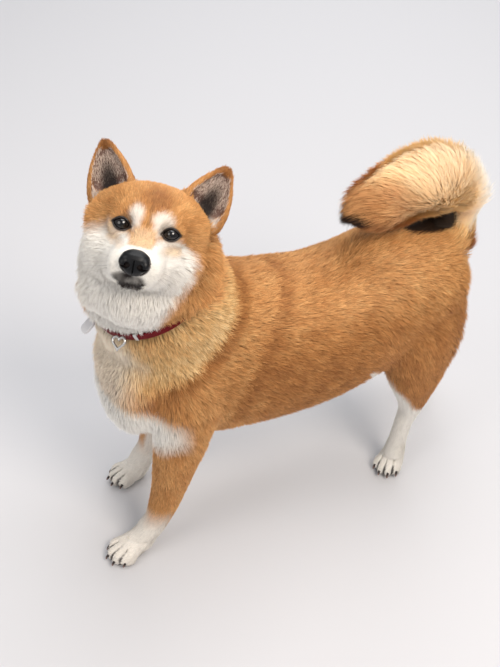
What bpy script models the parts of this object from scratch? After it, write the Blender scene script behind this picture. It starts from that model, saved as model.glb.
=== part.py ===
"""A standing shiba inu with its head turned to its left, at life size.

The dog faces -Y with its left side at +X, and stands on the floor at Z = 0. Sizes are in metres and
run to the tips of the coat. The body is lofted in pieces, welded into one form and parted by thin cuts.
"""

import math

import bmesh
import bpy
import numpy as np
from mathutils import Euler, Matrix, Vector
from mathutils.bvhtree import BVHTree

# Gaps between neighbours, and the fineness of the form
GAP = 0.0004
CUT = 0.0009
RING_SIDES = 28
STEPS_PER_ROW = 5
BODY_VOXEL = 0.0035
HEAD_VOXEL = 0.0022
# Triangles of the body and head before they are parted, and of the head and each ear after it
BODY_START = 4900
HEAD_START = 3100
HEAD_TRIANGLES = 2000
EAR_TRIANGLES = 380
# The share of its triangles that a piece of the body keeps once it is parted
BODY_SHARE = 0.46
# What is left below the floor until the last cut, which makes the soles flat
SOLE_SPARE = 0.0008

# The point between the eyes, and the head's turn: pitched up, tipped to its left, and turned to its left
EYES_MIDDLE = Vector((0.0470, -0.1771, 0.4805))
HEAD_PITCH = math.radians(-31.9)
HEAD_TIP = math.radians(9.9)
HEAD_TURN = math.radians(65.9)
HEAD_PLACE = (
    Matrix.Translation(EYES_MIDDLE)
    @ Matrix.Rotation(HEAD_TURN, 4, "Z")
    @ Matrix.Rotation(HEAD_PITCH, 4, "X")
    @ Matrix.Rotation(HEAD_TIP, 4, "Y")
)

# Face, in the head's own axes: X to its left, Y to the back, Z up, from the point between the eyes
EYE_SPREAD = 0.0256
EYE_DEPTH = 0.0030
EYE_RADIUS = 0.0112
ORBIT_DEPTH = -0.0120
ORBIT_REACH = Vector((0.0150, 0.0105, 0.0118))
NOSE_MIDDLE = Vector((0.001, -0.0650, -0.0285))
NOSE_REACH = Vector((0.0150, 0.0105, 0.0128))

# Collar
COLLAR_MIDDLE = Vector((0.011, -0.165, 0.3755))
COLLAR_AXIS = Vector((0.07, -0.43, 1.0)).normalized()
COLLAR_RADIUS = 0.066
STRAP_WIDTH = 0.0095
STRAP_THICKNESS = 0.0026
GROOVE_WIDTH = 0.0107
HEART_WIDTH = 0.0140
HEART_WIRE = 0.0009
KEEPER_SIZE = (0.0045, 0.0092, 0.0016)
TAG_SIZE = (0.0140, 0.0190, 0.0030)
# Where the fittings sit: the angle round the collar, the radius, the height, and how far they lean back
HEART_SEAT = (-50, 0.0768, -0.0005, 60)
KEEPER_SEAT = (-33, 0.0700, 0.0000, 0)
TAG_SEAT = (-90, 0.0835, -0.0008, 70)


def smooth_rows(rows):
    """A smooth curve through every row of numbers."""
    rows = np.array(rows, float)
    ends = np.vstack([2 * rows[0] - rows[1], rows, 2 * rows[-1] - rows[-2]])
    out = []
    for i in range(len(rows) - 1):
        a, b, c, d = ends[i : i + 4]
        for t in np.linspace(0, 1, STEPS_PER_ROW, endpoint=False):
            bend = (2 * a - 5 * b + 4 * c - d) * t**2 + (3 * b - a - 3 * c + d) * t**3
            out.append(0.5 * (2 * b + (c - a) * t + bend))
    out.append(rows[-1])
    return np.array(out)


def add_mesh(name, mesh):
    obj = bpy.data.objects.new(name, mesh)
    bpy.context.scene.collection.objects.link(obj)
    return obj


def from_bmesh(name, work):
    mesh = bpy.data.meshes.new(name)
    work.to_mesh(mesh)
    work.free()
    return add_mesh(name, mesh)


def loft(name, rows, front, side=(1, 0, 0), square=2.0, sides=RING_SIDES):
    """A closed form through rings. A row is x, y, z, then the ring's reach to each side, front and back.

    square is the power of the ring's superellipse: 2 is an ellipse, and more is boxier.
    """
    rows = smooth_rows(rows)
    middles = rows[:, :3]
    ways = np.gradient(middles, axis=0)
    ways /= np.linalg.norm(ways, axis=1)[:, None]
    turn = math.copysign(1.0, float(np.dot(np.cross(ways[0], side), front)))
    work = bmesh.new()
    rings = []
    for middle, way, reach in zip(middles, ways, np.maximum(rows[:, 3:6], 0.0002)):
        across = np.array(side, float) - np.dot(side, way) * way
        across /= np.linalg.norm(across)
        ahead = np.cross(way, across) * turn
        ring = []
        for k in range(sides):
            c, s = math.cos(2 * math.pi * k / sides), math.sin(2 * math.pi * k / sides)
            wide = math.copysign(abs(c) ** (2 / square), c) * reach[0]
            deep = math.copysign(abs(s) ** (2 / square), s) * (reach[1] if s > 0 else reach[2])
            ring.append(work.verts.new(middle + across * wide + ahead * deep))
        rings.append(ring)
    for one, two in zip(rings, rings[1:]):
        for k in range(sides):
            n = (k + 1) % sides
            work.faces.new((one[k], one[n], two[n], two[k]))
    work.faces.new(rings[0])
    work.faces.new(rings[-1])
    bmesh.ops.recalc_face_normals(work, faces=work.faces)
    return from_bmesh(name, work)


def ball(name, middle, reach, turn=(0, 0, 0), segments=14, rings=9):
    """An ellipsoid: its middle, its half sizes, and its turn about X, Y and Z in degrees."""
    work = bmesh.new()
    bmesh.ops.create_uvsphere(work, u_segments=segments, v_segments=rings, radius=1.0)
    spin = Euler([math.radians(a) for a in turn]).to_matrix().to_4x4()
    move = Matrix.Translation(middle) @ spin @ Matrix.Diagonal((*reach, 1.0))
    bmesh.ops.transform(work, matrix=move, verts=work.verts)
    return from_bmesh(name, work)


def placed(obj, matrix):
    obj.data.transform(matrix)
    return obj


def mirrored(obj, name):
    """A copy on the other side of the plane X = 0."""
    work = bmesh.new()
    work.from_mesh(obj.data)
    bmesh.ops.scale(work, vec=(-1, 1, 1), verts=work.verts)
    bmesh.ops.reverse_faces(work, faces=work.faces)
    return from_bmesh(name, work)


def settled(obj):
    """The object with its modifiers made part of its mesh."""
    graph = bpy.context.evaluated_depsgraph_get()
    mesh = bpy.data.meshes.new_from_object(obj.evaluated_get(graph))
    obj.modifiers.clear()
    obj.data = mesh
    return obj


def gathered(name, pieces):
    work = bmesh.new()
    for piece in pieces:
        work.from_mesh(piece.data)
        bpy.data.objects.remove(piece)
    return from_bmesh(name, work)


def welded(name, pieces, voxel):
    """One closed form over all the pieces."""
    obj = gathered(name, pieces)
    remesh = obj.modifiers.new("weld", "REMESH")
    remesh.mode = "VOXEL"
    remesh.voxel_size = voxel
    return settled(obj)


def softened(obj, rounds):
    """The form with its creases smoothed that many times."""
    soften = obj.modifiers.new("soften", "SMOOTH")
    soften.factor = 0.5
    soften.iterations = rounds
    return settled(obj)


def count_triangles(obj):
    obj.data.calc_loop_triangles()
    return len(obj.data.loop_triangles)


def thinned(obj, triangles):
    """The form with about that many triangles."""
    thin = obj.modifiers.new("thin", "DECIMATE")
    thin.ratio = min(1.0, triangles / count_triangles(obj))
    thin.use_collapse_triangulate = True
    return settled(obj)


def swollen(obj, name, by):
    """A copy whose surface is moved out by that distance."""
    work = bmesh.new()
    work.from_mesh(obj.data)
    bmesh.ops.recalc_face_normals(work, faces=work.faces)
    work.normal_update()
    shifts = [(v, v.normal.copy()) for v in work.verts]
    for v, normal in shifts:
        v.co += normal * by
    return from_bmesh(name, work)


def cut(obj, cutters, solver="EXACT"):
    """The object less the cutters, which are used up."""
    for cutter in cutters:
        tool = obj.modifiers.new("cut", "BOOLEAN")
        tool.operation = "DIFFERENCE"
        tool.solver = solver
        tool.object = cutter
        settled(obj)
        bpy.data.objects.remove(cutter)
    return obj


def slab(middle, axis, radius):
    """A thin disc across an axis, which parts a limb."""
    work = bmesh.new()
    bmesh.ops.create_cone(
        work, cap_ends=True, segments=32, radius1=radius, radius2=radius, depth=CUT
    )
    turn = Vector((0, 0, 1)).rotation_difference(Vector(axis).normalized()).to_matrix().to_4x4()
    bmesh.ops.transform(work, matrix=Matrix.Translation(middle) @ turn, verts=work.verts)
    return from_bmesh("slab", work)


def loose_bodies(obj):
    """The separate bodies of a mesh, as objects of their own."""
    work = bmesh.new()
    work.from_mesh(obj.data)
    left = set(work.faces)
    groups = []
    while left:
        start = min(left, key=lambda f: f.index)
        group, front = {start}, [start]
        while front:
            face = front.pop()
            for edge in face.edges:
                for other in edge.link_faces:
                    if other not in group:
                        group.add(other)
                        front.append(other)
        left -= group
        groups.append([f.index for f in group])
    work.free()
    bodies = []
    for group in groups:
        keep = set(group)
        part = bmesh.new()
        part.from_mesh(obj.data)
        part.faces.ensure_lookup_table()
        bmesh.ops.delete(part, geom=[f for f in part.faces if f.index not in keep], context="FACES")
        bodies.append(from_bmesh("body", part))
    bpy.data.objects.remove(obj)
    return bodies


def clean(obj):
    """Triangles, with points closer than a hundredth of a millimetre made one."""
    work = bmesh.new()
    work.from_mesh(obj.data)
    bmesh.ops.remove_doubles(work, verts=work.verts, dist=0.00001)
    bmesh.ops.dissolve_degenerate(work, edges=work.edges, dist=0.00001)
    bmesh.ops.triangulate(work, faces=work.faces)
    bmesh.ops.recalc_face_normals(work, faces=work.faces)
    work.to_mesh(obj.data)
    work.free()
    return obj


for old in list(bpy.data.objects):
    bpy.data.objects.remove(old)

UP = (0, 0, 1)
FORWARD = (0, -1, 0)

# Trunk: at each place along Y, the heights of the back and of the belly, and the half width
TRUNK = (
    (-0.217, 0.236, 0.202, 0.020),
    (-0.207, 0.268, 0.176, 0.048),
    (-0.186, 0.306, 0.158, 0.066),
    (-0.150, 0.350, 0.148, 0.080),
    (-0.100, 0.370, 0.144, 0.087),
    (-0.050, 0.359, 0.143, 0.090),
    (0.000, 0.350, 0.146, 0.092),
    (0.050, 0.346, 0.156, 0.091),
    (0.100, 0.352, 0.178, 0.088),
    (0.150, 0.365, 0.208, 0.084),
    (0.195, 0.362, 0.238, 0.077),
    (0.228, 0.344, 0.266, 0.060),
    (0.247, 0.318, 0.292, 0.024),
)

# Neck and ruff, from the chest up to the back of the head
NECK = (
    (0.000, -0.082, 0.262, 0.078, 0.120, 0.080),
    (0.001, -0.108, 0.305, 0.080, 0.112, 0.078),
    (0.004, -0.132, 0.342, 0.081, 0.097, 0.074),
    (0.008, -0.148, 0.374, 0.081, 0.090, 0.074),
    (0.009, -0.155, 0.405, 0.078, 0.086, 0.074),
    (0.004, -0.154, 0.436, 0.066, 0.068, 0.066),
    (-0.004, -0.150, 0.458, 0.040, 0.040, 0.040),
)

# Left foreleg, from the shoulder down to the top of the paw
FORELEG = (
    (0.054, -0.126, 0.300, 0.034, 0.056, 0.042),
    (0.061, -0.132, 0.245, 0.036, 0.050, 0.040),
    (0.066, -0.141, 0.195, 0.033, 0.042, 0.032),
    (0.067, -0.153, 0.150, 0.0275, 0.031, 0.0280),
    (0.067, -0.162, 0.110, 0.0225, 0.0235, 0.0235),
    (0.067, -0.171, 0.075, 0.0185, 0.0190, 0.0195),
    (0.067, -0.180, 0.050, 0.0170, 0.0160, 0.0165),
    (0.067, -0.191, 0.033, 0.0170, 0.0150, 0.0160),
    (0.067, -0.203, 0.018, 0.0180, 0.0160, 0.0160),
)
# The right foreleg stands further in and further back: how far each of those places moves
FORE_STEP = (
    (0.012, 0.000),
    (0.012, 0.004),
    (0.012, 0.010),
    (0.012, 0.018),
    (0.012, 0.024),
    (0.012, 0.028),
    (0.012, 0.030),
    (0.012, 0.032),
    (0.012, 0.036),
)

# Left hind leg, from the hip down to the top of the paw
HIND_LEG = (
    (0.034, 0.158, 0.310, 0.034, 0.070, 0.074),
    (0.046, 0.166, 0.265, 0.038, 0.066, 0.072),
    (0.054, 0.168, 0.225, 0.036, 0.052, 0.062),
    (0.057, 0.169, 0.188, 0.030, 0.040, 0.048),
    (0.056, 0.173, 0.150, 0.022, 0.026, 0.034),
    (0.054, 0.1745, 0.116, 0.0145, 0.0150, 0.0215),
    (0.053, 0.170, 0.087, 0.0125, 0.0125, 0.0145),
    (0.052, 0.168, 0.055, 0.0130, 0.0130, 0.0130),
    (0.051, 0.167, 0.030, 0.0155, 0.0155, 0.0145),
    (0.050, 0.166, 0.015, 0.0165, 0.0180, 0.0150),
)
# The right hind leg stands further out and further back: how far each of those places moves
HIND_STEP = (
    (0.000, 0.000),
    (-0.004, 0.008),
    (-0.008, 0.022),
    (-0.012, 0.044),
    (-0.016, 0.070),
    (-0.020, 0.095),
    (-0.023, 0.102),
    (-0.025, 0.105),
    (-0.025, 0.106),
    (-0.025, 0.106),
)

# Tail: curled up and forward over the back
TAIL = (
    (0.000, 0.196, 0.318, 0.030, 0.030, 0.034),
    (0.000, 0.222, 0.350, 0.034, 0.026, 0.036),
    (0.000, 0.232, 0.388, 0.034, 0.026, 0.034),
    (0.001, 0.219, 0.423, 0.036, 0.028, 0.036),
    (0.002, 0.189, 0.442, 0.037, 0.031, 0.037),
    (0.003, 0.155, 0.438, 0.037, 0.034, 0.038),
    (0.004, 0.122, 0.426, 0.034, 0.032, 0.033),
    (0.004, 0.097, 0.416, 0.027, 0.024, 0.025),
    (0.004, 0.081, 0.409, 0.012, 0.012, 0.014),
    (0.004, 0.075, 0.406, 0.003, 0.003, 0.003),
)

# Where each paw stands on the floor, its half width, and how many degrees it is turned to the dog's left
PAWS = {
    "fore_left": (0.0680, -0.2160, 0.0220, 18),
    "fore_right": (-0.0520, -0.1795, 0.0205, 8),
    "hind_left": (0.0480, 0.1640, 0.0200, 44),
    "hind_right": (-0.0750, 0.2720, 0.0190, -6),
}
# Toes: how far out and how far ahead of the paw's middle, as parts of the half width
TOES = ((-0.80, 0.42), (-0.30, 0.86), (0.30, 0.86), (0.80, 0.42))


def trunk():
    rows = []
    for y, top, bottom, half in TRUNK:
        rows.append((0, y, (top + bottom) / 2, half, (top - bottom) / 2, (top - bottom) / 2))
    return loft("trunk", rows, UP, square=2.15)


def right_side(rows, steps):
    """A left leg's rows on the right side, each place moved in and back by its step."""
    return [(step[0] - row[0], row[1] + step[1], *row[2:]) for row, step in zip(rows, steps)]


# The rows of all four legs
LEGS = {
    "fore_left": FORELEG,
    "fore_right": right_side(FORELEG, FORE_STEP),
    "hind_left": HIND_LEG,
    "hind_right": right_side(HIND_LEG, HIND_STEP),
}
# Which of its rows a leg is cut at: the elbow or the hock, and the wrist or the ankle
LEG_JOINTS = {"fore": (3, 6), "hind": (4, 7)}


def neck():
    return loft("neck", NECK, FORWARD, square=2.1)


def paw_place(name):
    """A paw's own axes: its middle on the floor, with its toes towards -Y."""
    x, y, _, turn = PAWS[name]
    return Matrix.Translation((x, y, 0)) @ Matrix.Rotation(math.radians(turn), 4, "Z")


def toe_middle(half, out, ahead):
    return Vector((out * half * 0.84, -ahead * half * 0.95, 0.0100))


def toe_turn(out):
    """How far a toe fans out from the paw, in degrees."""
    return math.degrees(math.atan2(out, 3.6))


def paw(name):
    """A heel pad, a top and four toes, sunk a little below the floor to be cut flat there."""
    half = PAWS[name][2]
    forms = [
        ball("pad", (0, 0.32 * half, 0.0125), (0.80 * half, 0.95 * half, 0.0155)),
        ball("top", (0, 0.10 * half, 0.0180), (0.76 * half, 0.95 * half, 0.0125), turn=(18, 0, 0)),
    ]
    for out, ahead in TOES:
        middle = toe_middle(half, out, ahead)
        forms.append(ball("toe", middle, (0.33 * half, 0.59 * half, 0.0116), turn=(8, 0, toe_turn(out))))
    return [placed(form, paw_place(name)) for form in forms]


# Head: rows along its own Y, each the middle height, half width, reach up and reach down
CRANIUM = (
    (0.098, -0.010, 0.030, 0.024, 0.030),
    (0.080, -0.006, 0.048, 0.040, 0.040),
    (0.055, -0.004, 0.059, 0.048, 0.040),
    (0.030, -0.004, 0.059, 0.050, 0.040),
    (0.012, -0.006, 0.050, 0.044, 0.036),
    (0.000, -0.010, 0.034, 0.031, 0.030),
    (-0.008, -0.015, 0.021, 0.022, 0.020),
    (-0.015, -0.020, 0.009, 0.014, 0.010),
)
CHEEKS = (
    (0.095, -0.036, 0.038, 0.030, 0.034),
    (0.072, -0.034, 0.062, 0.044, 0.050),
    (0.046, -0.034, 0.068, 0.046, 0.054),
    (0.022, -0.034, 0.065, 0.037, 0.048),
    (0.006, -0.036, 0.056, 0.027, 0.038),
    (-0.010, -0.037, 0.045, 0.019, 0.028),
    (-0.026, -0.036, 0.033, 0.015, 0.023),
    (-0.040, -0.035, 0.022, 0.010, 0.019),
)
MUZZLE = (
    (0.010, -0.026, 0.034, 0.024, 0.030),
    (-0.012, -0.029, 0.0280, 0.0225, 0.030),
    (-0.030, -0.031, 0.0275, 0.0205, 0.0280),
    (-0.046, -0.033, 0.0275, 0.0185, 0.0245),
    (-0.057, -0.035, 0.0255, 0.0160, 0.0210),
    (-0.064, -0.037, 0.0200, 0.0120, 0.0155),
    (-0.067, -0.038, 0.0070, 0.0050, 0.0070),
)

# Left ear in the head's axes: where it grows, its axis, its width's direction, and how far along the axis
# each row lies, with its half width, its reach forward and its reach back
EAR_ROOT = Vector((0.0475, 0.0480, 0.0240))
EAR_AXIS = Vector((0.33, 0.02, 0.94)).normalized()
EAR_ACROSS = (0.95, 0.30, -0.20)
EAR_FRONT = (0.25, -1.0, 0.10)
EAR = (
    (-0.024, 0.0180, 0.0060, 0.0120),
    (-0.008, 0.0275, 0.0070, 0.0120),
    (0.006, 0.0283, 0.0060, 0.0110),
    (0.018, 0.0258, 0.0050, 0.0095),
    (0.030, 0.0212, 0.0040, 0.0075),
    (0.041, 0.0145, 0.0032, 0.0055),
    (0.050, 0.0085, 0.0026, 0.0038),
    (0.0545, 0.0040, 0.0018, 0.0022),
    (0.0560, 0.0010, 0.0006, 0.0006),
)
# The hollow of the ear, which opens to the front
HOLLOW = (
    (-0.004, 0.0120, 0.0300, 0.0040),
    (0.008, 0.0205, 0.0300, 0.0062),
    (0.020, 0.0185, 0.0300, 0.0056),
    (0.032, 0.0140, 0.0300, 0.0040),
    (0.042, 0.0085, 0.0300, 0.0024),
    (0.048, 0.0030, 0.0300, 0.0008),
)


def along_head(name, rows, square):
    return loft(name, [(0, y, z, half, up, down) for y, z, half, up, down in rows], UP, square=square)


def head_forms():
    """The forms of the head without its ears, in the world."""
    forms = [
        along_head("cranium", CRANIUM, 2.2),
        along_head("cheeks", CHEEKS, 2.5),
        along_head("muzzle", MUZZLE, 2.3),
    ]
    forms.append(ball("throat", (0, 0.032, -0.062), (0.058, 0.054, 0.046)))
    for s in (-1, 1):
        brow = ball("brow", (s * 0.022, 0.005, 0.011), (0.013, 0.009, 0.007), turn=(0, s * 20, 0))
        forms.append(brow)
    return [placed(form, HEAD_PLACE) for form in forms]


def along_ear(name, rows, sides):
    path = [(*(EAR_ROOT + EAR_AXIS * up), half, front, back) for up, half, front, back in rows]
    return loft(name, path, EAR_FRONT, side=EAR_ACROSS, sides=sides)


def ear(name):
    """The left ear, cupped, in the head's axes."""
    return cut(along_ear(name, EAR, 16), [along_ear("hollow", HOLLOW, 14)])


def collar_frame():
    """The collar's own axes: Z through the neck, X to the dog's left."""
    turn = Vector((0, 0, 1)).rotation_difference(COLLAR_AXIS).to_matrix().to_4x4()
    return Matrix.Translation(COLLAR_MIDDLE) @ turn


def band(name, inner, outer, height, segments):
    """A flat ring around the collar's axis, with a square section."""
    work = bmesh.new()
    rings = []
    for radius, z in ((inner, -height / 2), (outer, -height / 2), (outer, height / 2), (inner, height / 2)):
        made = bmesh.ops.create_circle(work, segments=segments, radius=radius)
        bmesh.ops.translate(work, vec=(0, 0, z), verts=made["verts"])
        rings.append(made["verts"])
    for one, two in zip(rings, rings[1:] + rings[:1]):
        for k in range(segments):
            n = (k + 1) % segments
            work.faces.new((one[k], one[n], two[n], two[k]))
    bmesh.ops.recalc_face_normals(work, faces=work.faces)
    return placed(from_bmesh(name, work), collar_frame())


def on_collar(angle, radius, height, lean):
    """A place on the collar: X across, Y up along the coat, Z outward, leant back by that angle."""
    spin = Matrix.Rotation(math.radians(angle), 4, "Z")
    stand = Matrix.Rotation(math.radians(90.0), 4, "Z") @ Matrix.Rotation(math.radians(90.0 - lean), 4, "X")
    return collar_frame() @ spin @ Matrix.Translation((radius, 0, height)) @ stand


def heart_ring():
    """A ring of wire bent to a heart."""
    curve = bpy.data.curves.new("heart", "CURVE")
    curve.dimensions = "3D"
    curve.bevel_depth = HEART_WIRE
    curve.bevel_resolution = 0
    spline = curve.splines.new("POLY")
    count, scale = 22, HEART_WIDTH / 32
    spline.points.add(count - 1)
    for k in range(count):
        t = 2 * math.pi * (k + 0.5) / count
        x = 16 * math.sin(t) ** 3
        y = 13 * math.cos(t) - 5 * math.cos(2 * t) - 2 * math.cos(3 * t) - math.cos(4 * t)
        spline.points[k].co = (x * scale, y * scale, 0, 1)
    spline.use_cyclic_u = True
    wire = add_mesh("wire", curve)
    graph = bpy.context.evaluated_depsgraph_get()
    obj = add_mesh("heart_ring", bpy.data.meshes.new_from_object(wire.evaluated_get(graph)))
    bpy.data.objects.remove(wire)
    return placed(obj, on_collar(*HEART_SEAT))


def rounded_box(name, size, bevel, place):
    work = bmesh.new()
    bmesh.ops.create_cube(work, size=1.0)
    bmesh.ops.scale(work, vec=size, verts=work.verts)
    obj = from_bmesh(name, work)
    edge = obj.modifiers.new("edge", "BEVEL")
    edge.width = bevel
    edge.segments = 2
    return placed(settled(obj), place)


def half_space(above):
    """A block that fills the world on one side of the collar's plane."""
    work = bmesh.new()
    bmesh.ops.create_cube(work, size=1.2)
    shift = 0.6 - CUT / 2 if above else CUT / 2 - 0.6
    bmesh.ops.translate(work, vec=(0, 0, shift), verts=work.verts)
    return placed(from_bmesh("half", work), collar_frame())


def claw(paw_name, number):
    """A short blunt claw that grows from the front of a toe, down to just above the floor."""
    half = PAWS[paw_name][2]
    out, ahead = TOES[number - 1]
    turn = toe_turn(out)
    way = Vector((math.sin(math.radians(turn)), -math.cos(math.radians(turn)), 0))
    middle = toe_middle(half, out, ahead) + way * 0.60 * half + Vector((0, 0, -0.0026))
    name = f"{paw_name}_claw_{number}"
    nail = ball(name, middle, (0.0020, 0.0048, 0.0025), turn=(28, 0, turn), segments=5, rings=4)
    return placed(nail, paw_place(paw_name))


def box_slab(middle, normal, up, wide, high):
    """A thin plate: its middle, its normal, the direction of its height, and its size."""
    normal = Vector(normal).normalized()
    up = (Vector(up) - normal * normal.dot(Vector(up))).normalized()
    frame = Matrix((normal, up.cross(normal), up)).transposed().to_4x4()
    work = bmesh.new()
    bmesh.ops.create_cube(work, size=1.0)
    size = Matrix.Diagonal((CUT, wide, high, 1.0))
    bmesh.ops.transform(work, matrix=Matrix.Translation(middle) @ frame @ size, verts=work.verts)
    return from_bmesh("plate", work)


def body_cuts():
    """The thin cuts that part the body, from the neck to the tail and the paws."""
    cuts = [
        slab((0.0, -0.150, 0.331), (0, -0.55, 0.835), 0.135),
        slab((0.0, -0.070, 0.260), (0, 1, 0), 0.150),
        slab((0.0, 0.092, 0.280), (0, 1, 0), 0.140),
        slab((0.0, 0.222, 0.366), (0, 0.30, 0.95), 0.050),
        slab((0.0, 0.206, 0.432), (0, 0.80, -0.60), 0.052),
        slab((0.0, 0.134, 0.430), (0, 1.0, 0.24), 0.048),
    ]
    for s in (-1, 1):
        cuts.append(box_slab((s * 0.058, -0.145, 0.235), (0.93, 0, -s * 0.366), UP, 0.150, 0.220))
        cuts.append(box_slab((s * 0.052, 0.187, 0.270), (0.93, 0, -s * 0.366), UP, 0.190, 0.250))
    for name, rows in LEGS.items():
        for joint in LEG_JOINTS[name[:4]]:
            here, after = Vector(rows[joint][:3]), Vector(rows[joint + 1][:3])
            cuts.append(slab(here, after - here, 0.048))
    return cuts


def flat_feet(obj, level):
    """Cut away the form below that height, and close it there."""
    work = bmesh.new()
    work.from_mesh(obj.data)
    every = list(work.verts) + list(work.edges) + list(work.faces)
    bmesh.ops.bisect_plane(work, geom=every, plane_co=(0, 0, level), plane_no=(0, 0, 1), clear_inner=True)
    bmesh.ops.holes_fill(work, edges=[e for e in work.edges if e.is_boundary])
    bmesh.ops.triangulate(work, faces=work.faces)
    work.to_mesh(obj.data)
    work.free()
    return obj


body_forms = [trunk(), neck(), loft("tail", TAIL, (0, -1, 0.5))]
for name, rows in LEGS.items():
    body_forms.append(loft(name, rows, FORWARD))
    body_forms += paw(name)
body = thinned(softened(welded("body", body_forms + head_forms(), BODY_VOXEL), 6), BODY_START)
body = flat_feet(cut(body, [half_space(above=True)]), -SOLE_SPARE)
head = welded("head", head_forms() + [neck()], HEAD_VOXEL)
for s in (-1, 1):
    orbit = ball("orbit", (s * EYE_SPREAD, ORBIT_DEPTH, 0), ORBIT_REACH)
    cut(head, [placed(orbit, HEAD_PLACE)], solver="MANIFOLD")
head = thinned(softened(head, 8), HEAD_START)
skulls = [swollen(head, "skull", CUT) for _ in range(2)]
head = cut(head, [half_space(above=False)])

for obj in (body, head):
    cut(obj, [band("groove", COLLAR_RADIUS - GAP, 0.120, GROOVE_WIDTH, 36)])
head = thinned(head, HEAD_TRIANGLES)

left_ear = ear("ear_left")
right_ear = mirrored(left_ear, "ear_right")
for obj, skull in zip((left_ear, right_ear), skulls):
    thinned(cut(placed(obj, HEAD_PLACE), [skull], solver="MANIFOLD"), EAR_TRIANGLES)

made = [left_ear, right_ear]
for side, s in (("left", 1), ("right", -1)):
    eye = placed(ball("eye_" + side, (s * EYE_SPREAD, EYE_DEPTH, 0), [EYE_RADIUS] * 3), HEAD_PLACE)
    cut(head, [swollen(eye, "socket", GAP)])
    made.append(eye)
nose = placed(ball("nose", NOSE_MIDDLE, NOSE_REACH), HEAD_PLACE)
cut(head, [swollen(nose, "socket", GAP)])
made.append(nose)

cut(body, body_cuts())
# A point inside each piece of the body
PLACES = {
    "neck": (0.000, -0.165, 0.345),
    "chest": (0.000, -0.130, 0.250),
    "trunk": (0.000, 0.000, 0.250),
    "rump": (0.000, 0.150, 0.290),
    "tail_root": (0.000, 0.230, 0.395),
    "tail_curl": (0.002, 0.175, 0.442),
    "tail_tip": (0.004, 0.105, 0.419),
}
for name, rows in LEGS.items():
    upper, lower, foot = ((2, 4, 7) if name.startswith("fore") else (2, 5, 8))
    PLACES[name + "_upper"] = rows[upper][:3]
    PLACES[name + "_lower"] = rows[lower][:3]
    PLACES[name + "_paw"] = (PAWS[name][0], PAWS[name][1], 0.012)


def inside(obj, point):
    """Whether a point is in the body: a line from it crosses the surface an odd number of times."""
    tree = BVHTree.FromObject(obj, bpy.context.evaluated_depsgraph_get())
    way = Vector((0.31, 0.52, 0.79)).normalized()
    crossings, start = 0, Vector(point)
    hit = tree.ray_cast(start, way)
    while hit[0] is not None:
        crossings += 1
        start = hit[0] + way * 0.00001
        hit = tree.ray_cast(start, way)
    return crossings % 2 == 1


bodies = loose_bodies(body)
for name, point in PLACES.items():
    piece = next(each for each in bodies if inside(each, point))
    piece.name = name
    thinned(piece, BODY_SHARE * count_triangles(piece))
    made.append(flat_feet(piece, 0) if name.endswith("_paw") else piece)

for name in PAWS:
    foot = bpy.data.objects[name + "_paw"]
    for number in range(1, len(TOES) + 1):
        made.append(cut(claw(name, number), [swollen(foot, "toes", GAP)], solver="MANIFOLD"))

strap = band("collar_strap", COLLAR_RADIUS, COLLAR_RADIUS + STRAP_THICKNESS, STRAP_WIDTH, 36)
keeper = rounded_box("collar_keeper", KEEPER_SIZE, 0.0005, on_collar(*KEEPER_SEAT))
tag = rounded_box("tag", TAG_SIZE, 0.0012, on_collar(*TAG_SEAT))
made += [head, strap, heart_ring(), keeper, tag]

# What each piece is coloured as: colour, roughness and metallic value
COATS = {
    "red_coat": ((0.42, 0.19, 0.07, 1), 0.85, 0),
    "pale_coat": ((0.72, 0.62, 0.50, 1), 0.85, 0),
    "nose_skin": ((0.012, 0.012, 0.014, 1), 0.40, 0),
    "eye": ((0.010, 0.007, 0.006, 1), 0.10, 0),
    "claw": ((0.060, 0.045, 0.035, 1), 0.45, 0),
    "collar": ((0.120, 0.010, 0.014, 1), 0.60, 0),
    "silver": ((0.700, 0.690, 0.680, 1), 0.25, 1),
    "white_plastic": ((0.720, 0.710, 0.740, 1), 0.35, 0),
}
KINDS = (
    ("eye_", "eye"),
    ("nose", "nose_skin"),
    ("collar_strap", "collar"),
    ("heart_ring", "silver"),
    ("collar_keeper", "silver"),
    ("tag", "white_plastic"),
)


def kind_of(name):
    if "_claw_" in name:
        return "claw"
    if name.endswith("_paw"):
        return "pale_coat"
    for start, kind in KINDS:
        if name.startswith(start):
            return kind
    return "red_coat"


def material(kind):
    colour, roughness, metallic = COATS[kind]
    made_of = bpy.data.materials.new(kind)
    made_of.use_nodes = True
    shader = made_of.node_tree.nodes["Principled BSDF"]
    shader.inputs["Base Color"].default_value = colour
    shader.inputs["Roughness"].default_value = roughness
    shader.inputs["Metallic"].default_value = metallic
    return made_of


materials = {kind: material(kind) for kind in COATS}
dog = bpy.data.collections.new("shiba_inu")
bpy.context.scene.collection.children.link(dog)
corners = np.array([v.co for obj in made for v in obj.data.vertices])
middle = (corners.min(axis=0) + corners.max(axis=0)) / 2
shift = Matrix.Translation((-middle[0], -middle[1], 0))
for obj in made:
    placed(clean(obj), shift)
    obj.data.materials.clear()
    obj.data.materials.append(materials[kind_of(obj.name)])
    obj.data.shade_smooth()
    dog.objects.link(obj)
for obj in list(bpy.context.scene.collection.objects):
    bpy.context.scene.collection.objects.unlink(obj)
    if obj not in made:
        bpy.data.objects.remove(obj)
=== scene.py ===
"""The looks of a standing shiba inu, a still model at life size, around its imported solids."""

import math
from types import SimpleNamespace

import bmesh
import bpy
import numpy as np
import openvdb as vdb
from mathutils import Matrix, Vector
from mathutils.bvhtree import BVHTree
from mathutils.kdtree import KDTree


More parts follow.
